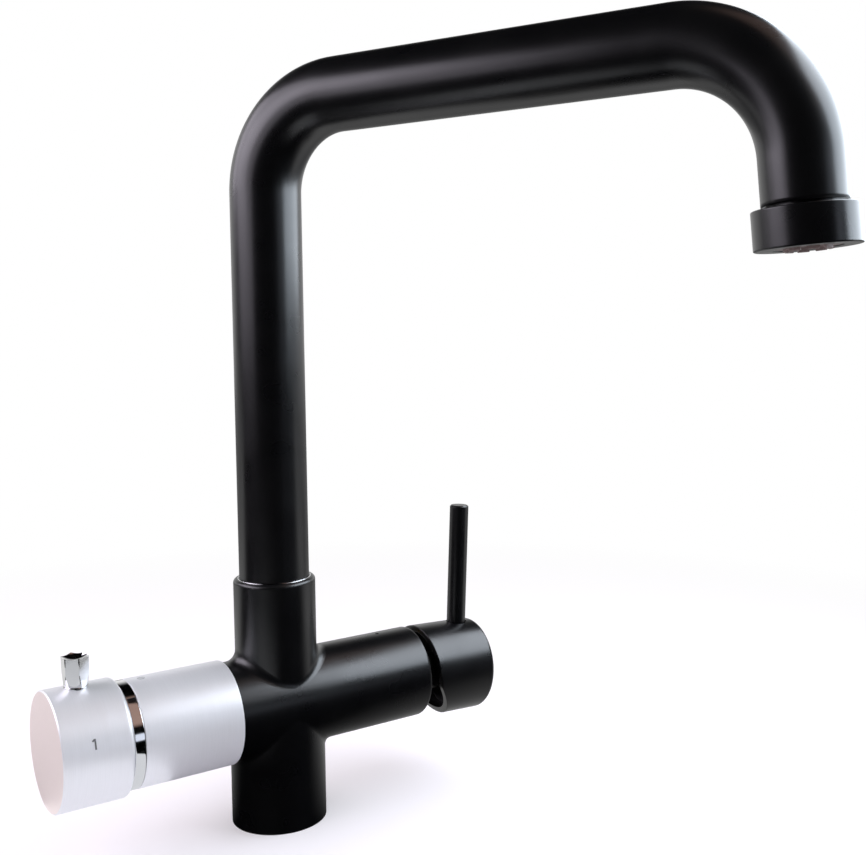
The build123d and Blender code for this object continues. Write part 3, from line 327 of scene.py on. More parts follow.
house_points = NOZZLE_PLACE + house_points @ np.array([NOZZLE_SIDE, (0, 1, 0), NOZZLE_AXIS])
house_faces = grid_faces(len(house_profile), OUTLET_COLUMNS, rows_meet=True)
outlet = make_piece("aerator_outlet", swung(house_points), house_faces)
stands_for(outlet, "aerator_housing")

# %% [markdown]
# A thin bright ring lies in the mouth of the collar round the foot of the spout. It is less than a
# millimetre wide, and with its top edge rounded it draws the fine light line that the eye finds there.

# %% The ring at the spout's foot
FOOT_RING_LOW = COLLAR_TOP - 1.4
FOOT_RING_TOP = COLLAR_TOP + 0.3
FOOT_RING_INSIDE = TUBE_R + 0.08
FOOT_RING_OUTSIDE = TUBE_R + 0.73
foot_ring_corners = [
    (FOOT_RING_LOW, FOOT_RING_INSIDE), (FOOT_RING_LOW, FOOT_RING_OUTSIDE),
    (FOOT_RING_TOP, FOOT_RING_OUTSIDE, 0.2), (FOOT_RING_TOP, FOOT_RING_INSIDE),
]
swivel_ring = turned("swivel_ring_skin", foot_ring_corners, (0, 0, 0), (0, 0, 1), closed=True)
stands_for(swivel_ring, "swivel_ring")

# %% [markdown]
# The mixer lever is a black cup with a rod standing in it. It leans out by 2.7 degrees at rest, so its
# points are first made upright and then turned about the cartridge's pivot. The cup's rim is cut back below
# the middle, which leaves room for the lever to tip: the lathe surface is sheared towards the rim by a
# distance that depends only on the height, so that the rim keeps its round edge. The rod stands in a
# shallow round seat, which a second lathe piece cuts out of the cup.

# %% Mixer knob
PIVOT = np.array([52.0, 0.0, ARM_HEIGHT])
LEVER_LEAN = np.radians(2.7)
MIXER_ARM_END = 68.6
KNOB_R = 21.5
KNOB_WALL = 2.7
KNOB_END = 103.4
KNOB_SIDE = 95.0
KNOB_SIDE_ROWS = 10
KNOB_SOLID = 89.0
HUB_R = 8.0
HUB_START = 77.0
RIM_HEIGHTS = [-21.5, -3.0, 21.5]
RIM_GAPS = [15.3, 4.9, 2.6]
RIM_START = MIXER_ARM_END + min(RIM_GAPS)
ROD_R = 4.5
ROD_DISTANCE = 94.4
ROD_SEAT = 0.9
ROD_ROOM = 0.5
CUTTER_EDGE = 0.02
CUTTER_OVER = 4.0
CUTTER_COLUMNS = 64


def leaned(points):
    """Tips points about the Y axis through the pivot by the lever's lean."""
    x, y, z = np.moveaxis(points - PIVOT, -1, 0)
    c, s = np.cos(LEVER_LEAN), np.sin(LEVER_LEAN)
    return np.stack([c * x + s * z, y, c * z - s * x], axis=-1) + PIVOT


def rim_gap(height):
    """How far the rim stays from the arm's end, from the height above the axis: two straight parts."""
    return np.interp(height, RIM_HEIGHTS, RIM_GAPS)


def seat_cutter(name, low, top, radius, foot, move=None):
    """A plain round plug that cuts a seat for a rod or a pin, from its floor up to above the knob."""
    corners = [(low, 0), (low, radius, CUTTER_EDGE), (top, radius, CUTTER_EDGE), (top, 0)]
    return turned(name, corners, foot, (0, 0, 1), move=move, columns=CUTTER_COLUMNS)


knob_corners = [
    (KNOB_END, 0), (KNOB_END, KNOB_R, 1.8), (RIM_START, KNOB_R, 0.45), (RIM_START, KNOB_R - KNOB_WALL, 0.3),
    (KNOB_SOLID, KNOB_R - KNOB_WALL), (KNOB_SOLID, HUB_R), (HUB_START, HUB_R), (HUB_START, 0),
]
knob_profile = rounded(knob_corners)
side_row = np.argmax((knob_profile[:, 0] < KNOB_SIDE) & (knob_profile[:, 1] > KNOB_R - 0.01))
share = np.linspace(0, 1, KNOB_SIDE_ROWS + 2)[1:-1, None]
side_rows = knob_profile[side_row - 1] + (knob_profile[side_row] - knob_profile[side_row - 1]) * share
knob_profile = np.vstack([knob_profile[:side_row], side_rows, knob_profile[side_row:]])
knob_points = around(knob_profile, (0, 0, ARM_HEIGHT), (1, 0, 0))
knob_z = knob_points[..., 2] - ARM_HEIGHT
near_rim = np.clip((KNOB_SOLID - knob_points[..., 0]) / (KNOB_SOLID - RIM_START), 0, 1)
near_rim[np.hypot(knob_points[..., 1], knob_z) < HUB_R + 1] = 0
knob_points[..., 0] += near_rim * (MIXER_ARM_END + rim_gap(knob_z) - RIM_START)
mixer_knob = make_piece("lever_knob_skin", leaned(knob_points), grid_faces(len(knob_profile), COLUMNS))
rod_foot = (ROD_DISTANCE, 0, ARM_HEIGHT)
rod_low, rod_high = KNOB_R - ROD_SEAT, KNOB_R + CUTTER_OVER
cut_away(mixer_knob, seat_cutter("rod_seat", rod_low, rod_high, ROD_R + ROD_ROOM, rod_foot, move=leaned))
stands_for(mixer_knob, "lever_knob")

# %% [markdown]
# The rod is a plain pin with a small bevel at its top and a thinner tenon in the cup. In the gap between
# the cup and the arm a black dome shows, which covers the cartridge's nut. It is part of a ball about the
# pivot, so the cup can tip round it without touching: its profile is two arcs about the pivot.

# %% Rod and dome
ROD_TOP = 78.4
ROD_BEVEL = 0.6
ROD_COLUMNS = 96
TENON_R = 3.0
TENON = 10.0
rod_corners = [
    (rod_low - TENON, 0), (rod_low - TENON, TENON_R), (rod_low, TENON_R), (rod_low, ROD_R, 0.3),
    (ROD_TOP - ROD_BEVEL, ROD_R, 0.2), (ROD_TOP, ROD_R - ROD_BEVEL, 0.15), (ROD_TOP, 0),
]
lever_rod = turned("lever_rod_skin", rod_corners, rod_foot, (0, 0, 1), move=leaned, columns=ROD_COLUMNS)
stands_for(lever_rod, "lever_rod")

DOME_R = 21.0
DOME_INSIDE_R = 19.6
DOME_START = 65.55
DOME_RIM = 18.6
DOME_MOUTH = 12.2
DOME_SINE = 0.9
DOME_STEPS = 24


def dome_arc(radius, first_sine, last_sine):
    """An arc about the pivot between two angles, given by their sines, without what lies inside the arm."""
    sweep = np.linspace(np.arcsin(first_sine), np.arcsin(last_sine), DOME_STEPS)
    arc_points = np.stack([PIVOT[0] + radius * np.cos(sweep), radius * np.sin(sweep)], axis=1)
    return arc_points[arc_points[:, 0] > DOME_START]


outer_arc = dome_arc(DOME_R, DOME_RIM / DOME_R, DOME_MOUTH / DOME_R)
inner_arc = dome_arc(DOME_INSIDE_R, DOME_MOUTH / DOME_INSIDE_R, DOME_SINE)
outer_foot, inner_foot = (DOME_START, outer_arc[0, 1]), (DOME_START, inner_arc[-1, 1])
dome_profile = np.vstack([outer_foot, outer_arc, inner_arc, inner_foot])
dome_points = around(dome_profile, (0, 0, ARM_HEIGHT), (1, 0, 0))
dome_faces = grid_faces(len(dome_profile), COLUMNS, rows_meet=True)
mixer_dome = make_piece("mixer_dome_skin", dome_points, dome_faces)
stands_for(mixer_dome, "mixer_dome")

# %% [markdown]
# The left arm wears a satin aluminium sleeve, then a polished ring, then the selector knob. The knob is a
# cup like the lever's, with a wide round at the ring and a small bright bevel at its flat outer end. On top
# it has a shallow seat for the pin.

# %% Selector sleeve, ring and knob
SLEEVE_R = 22.1
SLEEVE_WALL = 1.1
SLEEVE_START = 24.8
SLEEVE_END = 65.9
RING_R = 22.0
RING_WALL = 3.4
RING_START = 62.05
RING_END = 70.4
SELECTOR_R = 24.0
SELECTOR_WALL = 3.0
SELECTOR_BEVEL = 0.5
SELECTOR_START = 70.8
SELECTOR_SOLID = 80.0
SELECTOR_END = 98.2
SELECTOR_HUB_START = 72.8
SPINDLE_HOLE_R = 4.05
SPINDLE_HOLE_END = 90.05
PIN_DISTANCE = 85.9
PIN_SEAT = SELECTOR_R - 0.9
PIN_FOOT_R = 4.8
arm_origin = (0, 0, ARM_HEIGHT)
sleeve_corners = [
    (-SLEEVE_START, SLEEVE_R - SLEEVE_WALL), (-SLEEVE_START, SLEEVE_R, 0.3),
    (-SLEEVE_END, SLEEVE_R, 0.3), (-SLEEVE_END, SLEEVE_R - SLEEVE_WALL),
]
sleeve = turned("selector_sleeve_skin", sleeve_corners, arm_origin, (1, 0, 0), closed=True)
stands_for(sleeve, "selector_sleeve")

ring_step = SLEEVE_R - SLEEVE_WALL - FIT
bezel_corners = [
    (-RING_START, RING_R - RING_WALL), (-RING_START, ring_step), (-SLEEVE_END - FIT, ring_step),
    (-SLEEVE_END - FIT, RING_R, 0.35), (-RING_END, RING_R, 0.35), (-RING_END, RING_R - RING_WALL),
]
bezel = turned("bezel_ring_skin", bezel_corners, arm_origin, (1, 0, 0), closed=True)
stands_for(bezel, "bezel_ring")

selector_corners = [
    (-SELECTOR_END, 0), (-SELECTOR_END, SELECTOR_R - SELECTOR_BEVEL, 0.1),
    (-SELECTOR_END + SELECTOR_BEVEL, SELECTOR_R, 0.25), (-SELECTOR_START, SELECTOR_R, 1.4),
    (-SELECTOR_START, SELECTOR_R - SELECTOR_WALL), (-SELECTOR_SOLID, SELECTOR_R - SELECTOR_WALL),
    (-SELECTOR_SOLID, HUB_R), (-SELECTOR_HUB_START, HUB_R), (-SELECTOR_HUB_START, SPINDLE_HOLE_R),
    (-SPINDLE_HOLE_END, SPINDLE_HOLE_R), (-SPINDLE_HOLE_END, 0),
]
selector_knob = turned("selector_knob_skin", selector_corners, arm_origin, (1, 0, 0))
pin_foot = (-PIN_DISTANCE, 0, ARM_HEIGHT)
pin_cutter = seat_cutter("pin_seat", PIN_SEAT, SELECTOR_R + CUTTER_OVER, PIN_FOOT_R + FIT, pin_foot)
cut_away(selector_knob, pin_cutter)
stands_for(selector_knob, "selector_knob")

# %% [markdown]
# The selector's polished pin is round at the foot, and six flats are cut into it that end in pointed
# arches. As one formula: at each angle and height, the radius is the smaller of the round shaft's radius
# and the distance to the nearest flat, divided by the cosine of the angle from that flat's middle. The top
# is dished.

# %% The selector's pin
PIN_TOP = 36.3
PIN_FOOT = 1.5
PIN_NECK_R = 4.55
PIN_ARCH = 3.8
PIN_STEM_R = 2.5
PIN_STEM = 8.0
PIN_CORNER = 0.12
PIN_ROWS = 120
PIN_COLUMNS = 192
FLAT_PITCH = np.pi / 3
FLATS_LOW = 4.4
FLATS_HIGH = 4.75
FLAT_EDGE = np.radians(25)
DISH_R = 9.0
DISH_DEPTH = 1.75
DISH_ROWS = 23


def dish(radius):
    """Height of the dish, a sphere's lower side, at a distance from the pin's axis."""
    return PIN_TOP + DISH_R - DISH_DEPTH - np.sqrt(DISH_R ** 2 - radius ** 2)


def every_column(values):
    """The same values in every column round the pin."""
    return np.repeat(values[:, None], PIN_COLUMNS, axis=1)


pin_low = PIN_SEAT + PIN_FOOT
levels = np.linspace(pin_low, PIN_TOP, PIN_ROWS)
flat_r = (FLATS_LOW + (FLATS_HIGH - FLATS_LOW) * (levels - pin_low) / (PIN_TOP - pin_low))[:, None]
arch_r = FLATS_LOW / np.cos(FLAT_PITCH / 2)
shaft_r = (PIN_NECK_R + (arch_r - PIN_NECK_R) * (levels - pin_low) / PIN_ARCH)[:, None]
corner_r = FLATS_HIGH / np.cos(FLAT_PITCH / 2) - PIN_CORNER
pin_angle = np.linspace(-np.pi, np.pi, PIN_COLUMNS, endpoint=False)
off_flat = off_middle(pin_angle, FLAT_PITCH)[None, :]
pin_r = np.minimum(np.minimum(shaft_r, flat_r / np.cos(off_flat)), corner_r)
pin_z = np.minimum(every_column(levels), dish(pin_r))
dish_r = pin_r[-1] * np.linspace(1, 0, DISH_ROWS + 1)[1:, None]
dish_z = np.minimum(PIN_TOP, dish(dish_r))
foot_corners = [
    (PIN_SEAT - PIN_STEM, 0), (PIN_SEAT - PIN_STEM, PIN_STEM_R), (PIN_SEAT, PIN_STEM_R),
    (PIN_SEAT, PIN_FOOT_R, 0.1), (pin_low, PIN_FOOT_R, 0.3), (pin_low, PIN_NECK_R - 0.3),
]
foot_z, foot_r = rounded(foot_corners)[:-1].T
all_r = np.vstack([every_column(foot_r), pin_r, dish_r])
all_z = np.vstack([every_column(foot_z), pin_z, dish_z])
pin_points = np.stack([all_r * np.cos(pin_angle), all_r * np.sin(pin_angle), all_z], axis=-1) + pin_foot
selector_pin = make_piece("selector_pin_skin", pin_points, grid_faces(len(all_r), PIN_COLUMNS))
selector_pin.data.set_sharp_from_angle(angle=FLAT_EDGE)
stands_for(selector_pin, "selector_pin")

# %% [markdown]
# The selector's three filtered waters are marked with plain numbers on the knob. Each number is drawn as
# one pen stroke: a path with a width, bent round the knob and lifted a little, as thin as a print. A text
# object would be quicker, but it would have to be bent afterwards, and a pen stroke is what the print looks
# like.

# %% Numbers on the selector knob
STROKE = 0.62
LIFT = 0.03
NUMBER_HEIGHT = 4.0
WAY_TURN = np.radians(72.0)


def arc(x, y, radius_x, radius_y, start, end, steps=24):
    """Points of an elliptic arc: centre + (radius_x cos a, radius_y sin a), angles in degrees."""
    a = np.radians(np.linspace(start, end, steps))
    return np.stack([x + radius_x * np.cos(a), y + radius_y * np.sin(a)], axis=1)


def line(*corners):
    """Points along straight strokes, eight for each, so that they can bend round the knob."""
    corners = np.array(corners, float)
    share = np.linspace(0, 1, 9)[:-1, None]
    strokes = [a + (b - a) * share for a, b in zip(corners, corners[1:])]
    return np.vstack(strokes + [corners[-1:]])


def printed(piece, body):
    """A thin print on a body: the sheet gets a wall of LIFT on each side and rides along."""
    wall = piece.modifiers.new("thickness", "SOLIDIFY")
    wall.thickness, wall.offset = 2 * LIFT * MM, 0.0
    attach(piece, body)
    return piece


def number_print(name, path, turn):
    """One number on the knob: a ribbon of the stroke's width along the path, wound on the knob's cylinder.

    Along the path the sideways direction is the tangent turned by a quarter. A point (u, v) of the ribbon
    goes to x = middle + u and to the angle turn + v / R round the arm.
    """
    tangent = np.gradient(path, axis=0)
    tangent /= np.maximum(np.linalg.norm(tangent, axis=1, keepdims=True), 1e-9)
    sideways = np.stack([-tangent[:, 1], tangent[:, 0]], axis=1)
    over = np.linspace(-STROKE / 2, STROKE / 2, 4)[None, :, None]
    ribbon = path[:, None] + over * sideways[:, None]
    radius = SELECTOR_R + LIFT
    angle = turn + (ribbon[..., 1] - NUMBER_HEIGHT / 2) / radius
    x = -PIN_DISTANCE + ribbon[..., 0]
    points = np.stack([x, -radius * np.cos(angle), ARM_HEIGHT + radius * np.sin(angle)], axis=-1)
    return printed(make_piece(name, points, grid_faces(*points.shape[:2], columns_meet=False)), "selector")


NUMBERS = {
    "1": line((-0.9, 3.2), (0.15, NUMBER_HEIGHT), (0.15, 0.0)),
    "2": np.vstack([arc(0, 2.85, 1.15, 1.15, 165, -35), line((0.75, 1.95), (-1.2, 0.0), (1.25, 0.0))]),
    "3": np.vstack([arc(0, 3.0, 1.05, 1.0, 150, -80), arc(0, 1.05, 1.25, 1.05, 80, -150)]),
}
WAYS = {"1": np.pi / 2 - WAY_TURN, "2": -np.pi / 2, "3": np.pi / 2 + WAY_TURN}
numbers = [number_print("number_" + text, NUMBERS[text], turn) for text, turn in WAYS.items()]

# %% [markdown]
# A small grey dot on top of the sleeve shows where the chosen number has to come to. It is a flat disc bent
# on the sleeve: rings of points with a growing radius, each lifted to the cylinder's height at its place.

# %% The index dot
DOT_R = 1.6
DOT_DISTANCE = 60.0
DOT_RINGS = 6
DOT_COLUMNS = 48
dot_r = np.linspace(0, DOT_R, DOT_RINGS)[:, None]
dot_x = -DOT_DISTANCE + dot_r * np.cos(full_turn(DOT_COLUMNS))
dot_y = dot_r * np.sin(full_turn(DOT_COLUMNS))
dot_z = ARM_HEIGHT + np.sqrt((SLEEVE_R + LIFT) ** 2 - dot_y ** 2)
dot_points = np.stack([dot_x, dot_y, dot_z], axis=-1)
index_dot = printed(make_piece("index_dot", dot_points, grid_faces(DOT_RINGS, DOT_COLUMNS)), "root")

# %% [markdown]
# Every finish is made from nodes. A small function adds a node and sets its values, so that each finish
# reads as a short list. All patterns use Object coordinates, in metres, so they have their real size: a
# powder grain of a third of a millimetre, turning marks of a tenth.

# %% A way to write materials


def add_node(tree, kind, inputs=None, **settings):
    """A new shader node: settings are its own choices, inputs are values or sockets to link."""
    node = tree.nodes.new("ShaderNode" + kind)
    for name, value in settings.items():
        setattr(node, name, value)
    for name, value in (inputs or {}).items():
        if isinstance(value, bpy.types.NodeSocket):
            tree.links.new(value, node.inputs[name])
        else:
            node.inputs[name].default_value = value
    return node


def times(tree, first, second):
    """The product of two values."""
    return add_node(tree, "Math", {0: first, 1: second}, operation="MULTIPLY").outputs[0]


def along_side(tree, vector, side):
    """How far a vector reaches towards a side: their dot product."""
    return add_node(tree, "VectorMath", {0: vector, 1: list(side)}, operation="DOT_PRODUCT").outputs["Value"]


def either(tree, share, first, second):
    """The first shader at share 0, the second at share 1."""
    return add_node(tree, "MixShader", {0: share, 1: first, 2: second}).outputs["Shader"]


def darker(colour, share):
    """A colour with each of its three values times the share."""
    return tuple(c * share for c in colour)


class Finish:
    """A new material with its Principled shader, and short ways to add and link nodes."""

    def __init__(self, name):
        self.material = bpy.data.materials.new(name)
        self.material.use_nodes = True
        self.tree = self.material.node_tree
        self.shader = self.tree.nodes["Principled BSDF"]
        self.place = self.add("TexCoord").outputs["Object"]

    def add(self, kind, inputs=None, **settings):
        return add_node(self.tree, kind, inputs, **settings)

    def feed(self, socket, output):
        self.tree.links.new(output, self.shader.inputs[socket])

    def mapped(self, scale, centre=(0, 0, 0)):
        """Coordinates stretched by the scale about a centre."""
        inputs = {"Vector": self.place, "Scale": scale, "Location": [-c * s for c, s in zip(centre, scale)]}
        return self.add("Mapping", inputs).outputs["Vector"]

    def noise(self, vector, scale, detail=2.0, rough=0.5):
        inputs = {"Vector": vector, "Scale": scale, "Detail": detail, "Roughness": rough}
        return self.add("TexNoise", inputs).outputs["Fac"]

    def between(self, factor, low, high, low_in=0.3, high_in=0.7):
        """Low up to low_in, high from high_in on, and evenly from one to the other between."""
        inputs = {"Value": factor, "From Min": low_in, "From Max": high_in, "To Min": low, "To Max": high}
        return self.add("MapRange", inputs).outputs["Result"]

    def colours(self, factor, first, second):
        """Feeds the base colour with a mix of two colours."""
        node = self.add("Mix", data_type="RGBA")
        self.tree.links.new(factor, node.inputs[0])
        node.inputs[6].default_value = (*first, 1)
        node.inputs[7].default_value = (*second, 1)
        self.feed("Base Color", node.outputs[2])

    def bump(self, height, strength, distance_mm):
        inputs = {"Height": height, "Strength": strength, "Distance": distance_mm * MM}
        self.feed("Normal", self.add("Bump", inputs).outputs["Normal"])

    def glow(self, colour, strength):
        return self.add("Emission", {"Color": (*colour, 1), "Strength": strength}).outputs["Emission"]

    def show(self, output):
        """Makes this shader the surface, in place of the Principled one alone."""
        self.tree.links.new(output, self.tree.nodes["Material Output"].inputs["Surface"])


# %% [markdown]
# Powder coating is a plastic skin, sprayed on as dust and baked. It is nearly black, and what one sees is
# its gloss: a soft, slightly grainy highlight. Fine noise tilts the surface a little, wide noise makes the
# gloss uneven, as the dust never lies quite evenly.

# %% Black powder coating


def powder_black(name, dark=(0.0004, 0.0004, 0.0008), light=(0.0012, 0.0012, 0.002), gloss=0.29):
    paint = Finish(name)
    grain = paint.noise(paint.place, 2600, detail=3, rough=0.6)
    cloud = paint.noise(paint.place, 45, detail=2)
    paint.colours(paint.between(grain, 0, 1), dark, light)
    paint.feed("Roughness", paint.between(cloud, gloss - 0.03, gloss + 0.04))
    paint.bump(grain, 0.25, 0.02)
    paint.shader.inputs["Specular IOR Level"].default_value = 0.75
    return paint.material


black_paint = powder_black("black_powder")

# %% [markdown]
# The sleeve and the selector knob are turned aluminium with a satin finish. The tool leaves very fine lines
# that run round the part, so the noise is stretched: about ninety lines per centimetre along the axis and
# almost none round it. On the knob's flat end the same tool leaves circles, whose pattern depends only on
# the distance from the axis.

# %% Satin aluminium


def satin_aluminium(name, colour, rough, along=True):
    metal = Finish(name)
    if along:
        lines = metal.noise(metal.mapped((9000, 60, 60)), 1, detail=3, rough=0.7)
        bands = metal.noise(metal.mapped((1100, 8, 8)), 1, detail=1)
    else:
        off_axis = metal.mapped((0, 1, 1), (0, 0, ARM_HEIGHT * MM))
        distance = metal.add("VectorMath", {0: off_axis}, operation="LENGTH").outputs["Value"]
        circles = metal.add("CombineXYZ", {"X": distance}).outputs["Vector"]
        lines = metal.noise(circles, 9000, detail=3, rough=0.7)
        bands = metal.noise(circles, 900, detail=1)
    metal.colours(metal.between(lines, 0, 1), darker(colour, 0.93), colour)
    metal.feed("Roughness", metal.between(bands, rough - 0.04, rough + 0.04))
    metal.bump(lines, 0.12, 0.01)
    metal.shader.inputs["Metallic"].default_value = 0.5
    return metal.material


aluminium = satin_aluminium("satin_aluminium_turned", (0.89, 0.9, 0.935), 0.40)
# The flat end's warm pinkish colour is a painted reflection of the pale floor behind the knob.
aluminium_end_painted_reflection = satin_aluminium("satin_aluminium_end", (0.97, 0.87, 0.83), 0.5, along=False)

# %% [markdown]
# Polished metal is a mirror with faint clouds in its gloss. Machined brass and steel inside the tap are
# duller and show their tool lines. Rubber, plastic and ceramic have a soft grain and a colour that varies a
# little.

# %% Polished metal, brass, steel, rubber, plastics and ceramic


def polished(name, colour, rough):
    metal = Finish(name)
    cloud = metal.noise(metal.place, 300, detail=3)
    metal.feed("Roughness", metal.between(cloud, rough * 0.7, rough * 1.5))
    metal.colours(cloud, darker(colour, 0.97), colour)
    metal.shader.inputs["Metallic"].default_value = 1.0
    return metal.material


def machined(name, colour, rough, metallic=1.0):
    metal = Finish(name)
    lines = metal.noise(metal.mapped((500, 500, 5200)), 1, detail=2)
    stain = metal.noise(metal.place, 70, detail=4)
    metal.colours(metal.between(stain, 0, 1), darker(colour, 0.8), colour)
    metal.feed("Roughness", metal.between(lines, rough - 0.06, rough + 0.08))
    metal.bump(lines, 0.1, 0.02)
    metal.shader.inputs["Metallic"].default_value = metallic
    return metal.material


def moulded(name, colour, rough, grain=900, depth_mm=0.03):
    plastic = Finish(name)
    fine_grain = plastic.noise(plastic.place, grain, detail=3)
    cloud = plastic.noise(plastic.place, 60, detail=2)
    plastic.colours(plastic.between(cloud, 0, 1), darker(colour, 0.85), colour)
    plastic.feed("Roughness", plastic.between(fine_grain, rough - 0.05, rough + 0.05))
    plastic.bump(fine_grain, 0.2, depth_mm)
    return plastic.material


def clear_plastic(name):
    plastic = Finish(name)
    cloud = plastic.noise(plastic.place, 120, detail=2)
    plastic.colours(plastic.between(cloud, 0, 1), (0.72, 0.8, 0.84), (0.85, 0.9, 0.92))
    plastic.feed("Roughness", plastic.between(cloud, 0.2, 0.32))
    plastic.shader.inputs["Transmission Weight"].default_value = 0.6
    return plastic.material


FINISHES = {
    "black_paint": black_paint,
    "satin_aluminium": aluminium,
    "polished_metal": polished("polished_chrome", (0.86, 0.86, 0.87), 0.07),
    "brass": machined("machined_brass", (0.62, 0.42, 0.17), 0.34),
    "steel": machined("zinc_plated_steel", (0.55, 0.56, 0.57), 0.36),
    "rubber": moulded("black_rubber", (0.018, 0.018, 0.02), 0.62),
    "white_plastic": moulded("white_nylon", (0.74, 0.74, 0.71), 0.42),
    "grey_plastic": moulded("grey_acetal", (0.2, 0.205, 0.21), 0.4),
    "ceramic": moulded("ceramic_disc", (0.68, 0.66, 0.6), 0.16, grain=400, depth_mm=0.004),
    "clear_tube": clear_plastic("clear_water_tube"),
}
# The outlet's brown colour is a painted reflection: it stands for the brownish glint on its tabs.
outlet_painted_reflection = moulded("outlet_painted_reflection", (0.16, 0.12, 0.11), 0.38)
number_print_grey = moulded("grey_print", (0.12, 0.12, 0.125), 0.5, grain=2500, depth_mm=0.005)
dot_print_grey = moulded("pale_grey_print", (0.5, 0.51, 0.53), 0.5, grain=2500, depth_mm=0.005)

# %% [markdown]
# Each imported part takes the finish of its material slot, inside the tap too, because a good part is also
# right when it is taken apart. The pieces made here take their finish by hand. The knob has two: turned
# lines on its round side, and on its flat end circles with a warm tint, which is a painted reflection; the
# flat end is the faces whose middle lies at the end.

# %% Dress every part
KNOB_END_BAND = 0.02


def dress(thing, material):
    """Gives every material slot of an object the same finish."""
    if thing.data.materials:
        for i in range(len(thing.data.materials)):
            thing.data.materials[i] = material
    else:
        thing.data.materials.append(material)


for thing in NODES.values():
    dress(thing, FINISHES[thing.data.materials[0].name])
# The brass nozzle insert takes the black paint as well: painted shade, so that its neck in the groove under
# the collar looks dark.
for piece in (spout, nozzle_collar, mixer_knob, lever_rod, mixer_dome, NODES["nozzle_insert"]):
    dress(piece, black_paint)
for piece in (swivel_ring, bezel, selector_pin):
    dress(piece, FINISHES["polished_metal"])
for piece in (sleeve, selector_knob):
    dress(piece, aluminium)
for piece in numbers:
    dress(piece, number_print_grey)
dress(index_dot, dot_print_grey)
dress(outlet, outlet_painted_reflection)
selector_knob.data.materials.append(aluminium_end_painted_reflection)
for face in selector_knob.data.polygons:
    if face.center.x < (-SELECTOR_END + KNOB_END_BAND) * MM:
        face.material_index = 1
print(len(bpy.data.materials), "materials")

# %% [markdown]
# The tap stands on a plain pale floor that turns white in the distance, where it has a light of its own for
# the camera. In reflections the floor is a soft gradient instead: dark under the tap and in front of it,
# brightest about a tenth of a metre behind it, and dimmer again farther off. The underside of glossy black
# paint mirrors its floor, and with a plain white floor it would look grey.

# %% The floor
FLOOR_R = 3.0
FLOOR_COLUMNS = 96
BACKDROP_SIDE = unit((0.594, 0.805, 0.0))
floor_r = np.concatenate([np.linspace(0, 0.6, 13), np.linspace(0.8, FLOOR_R, 10)])[:, None] / MM
floor_angle = full_turn(FLOOR_COLUMNS)
floor_x, floor_y = floor_r * np.cos(floor_angle), floor_r * np.sin(floor_angle)
floor_points = np.stack([floor_x, floor_y, 0 * floor_x], axis=-1)
floor = make_piece("floor", floor_points, grid_faces(len(floor_r), FLOOR_COLUMNS))
paper = Finish("pale_floor")
paper.colours(paper.noise(paper.place, 30, detail=3), (0.93, 0.87, 0.915), (0.95, 0.89, 0.935))
paper.shader.inputs["Roughness"].default_value = 0.9
ray = paper.add("LightPath").outputs
behind = along_side(paper.tree, paper.place, BACKDROP_SIDE)
near_light = paper.between(behind, 0.0, 0.75, -0.01, 0.11)
far_light = paper.between(behind, 1.0, 0.4, 0.12, 0.4)
mirrored_floor = paper.glow((1, 1, 1), times(paper.tree, near_light, far_light))
matt_floor = either(paper.tree, ray["Is Glossy Ray"], paper.shader.outputs["BSDF"], mirrored_floor)
distance = paper.add("VectorMath", {0: paper.place}, operation="LENGTH").outputs["Value"]
fade = times(paper.tree, paper.between(distance, 0.25, 1.0, 0.12, 0.6), ray["Is Camera Ray"])
paper.show(either(paper.tree, fade, matt_floor, paper.glow((1, 1, 1), 1.0)))
dress(floor, paper.material)

# %% [markdown]
# A photographer holds a white card under shiny metal to fill its dark lower side. This one lies below the
# left arm, a little brighter towards the arm. It shows in reflections only: the camera, the shadows and the
# diffuse light don't meet it, so it leaves no trace on the floor.

# %% A white card below the left arm
CARD_HEIGHT = 27.0
CARD_POINTS = 12
CARD_X = np.linspace(-215, -51, CARD_POINTS)
CARD_Y = np.linspace(-150, 10, CARD_POINTS)
card_x, card_y = np.meshgrid(CARD_X, CARD_Y)
card_points = np.stack([card_x, card_y, 0 * card_x + CARD_HEIGHT], axis=-1)
card = make_piece("white_card", card_points, grid_faces(CARD_POINTS, CARD_POINTS, columns_meet=False))
white = Finish("white_card")
towards_arm = white.add("SeparateXYZ", {"Vector": white.place}).outputs["Y"]
white.show(white.glow((0.94, 0.96, 1.0), white.between(towards_arm, 0.6, 0.77, -0.12, -0.07)))
dress(card, white.material)
card.visible_camera = card.visible_diffuse = card.visible_shadow = card.visible_transmission = False

# %% [markdown]
# The world does three jobs. The camera sees it plain white. Diffuse light comes from an even soft grey. In
# reflections it is a studio: a low white backdrop behind the tap, and dark on the side of the camera, which
# is what makes black paint look black. High up, towards the user and to the right, is a patch of tan
# ceiling that shows in the polished ring, and in front a small bluish window.

# %% World
AMBIENT = 0.75
BACKDROP = 0.85
TAN_CEILING = (0.36, 0.24, 0.2)
WINDOW_BLUE = (0.8, 0.86, 1.0)
WINDOW_SIDE = unit((0.3, -0.94, 0.14))
UP, AWAY, RIGHT = (0, 0, 1), (0, 1, 0), (1, 0, 0)
world = bpy.data.worlds.new("studio")
bpy.context.scene.world = world
world.use_nodes = True
sky = world.node_tree
sky.nodes.clear()
looked = add_node(sky, "TexCoord").outputs["Generated"]


def part_of_sky(side, start, end):
    """From how far one looks to a side: 0 up to the start, 1 from the end on, a smooth S between."""
    inputs = {"Value": along_side(sky, looked, side), "From Min": start, "From Max": end}
    return add_node(sky, "MapRange", inputs, interpolation_type="SMOOTHSTEP").outputs["Result"]


def sky_light(colour, amount):
    """A light of the world in one colour, as strong as the amount."""
    return add_node(sky, "Background", {"Color": (*colour, 1), "Strength": amount}).outputs["Background"]


def both(first, second):
    return add_node(sky, "AddShader", {0: first, 1: second}).outputs["Shader"]


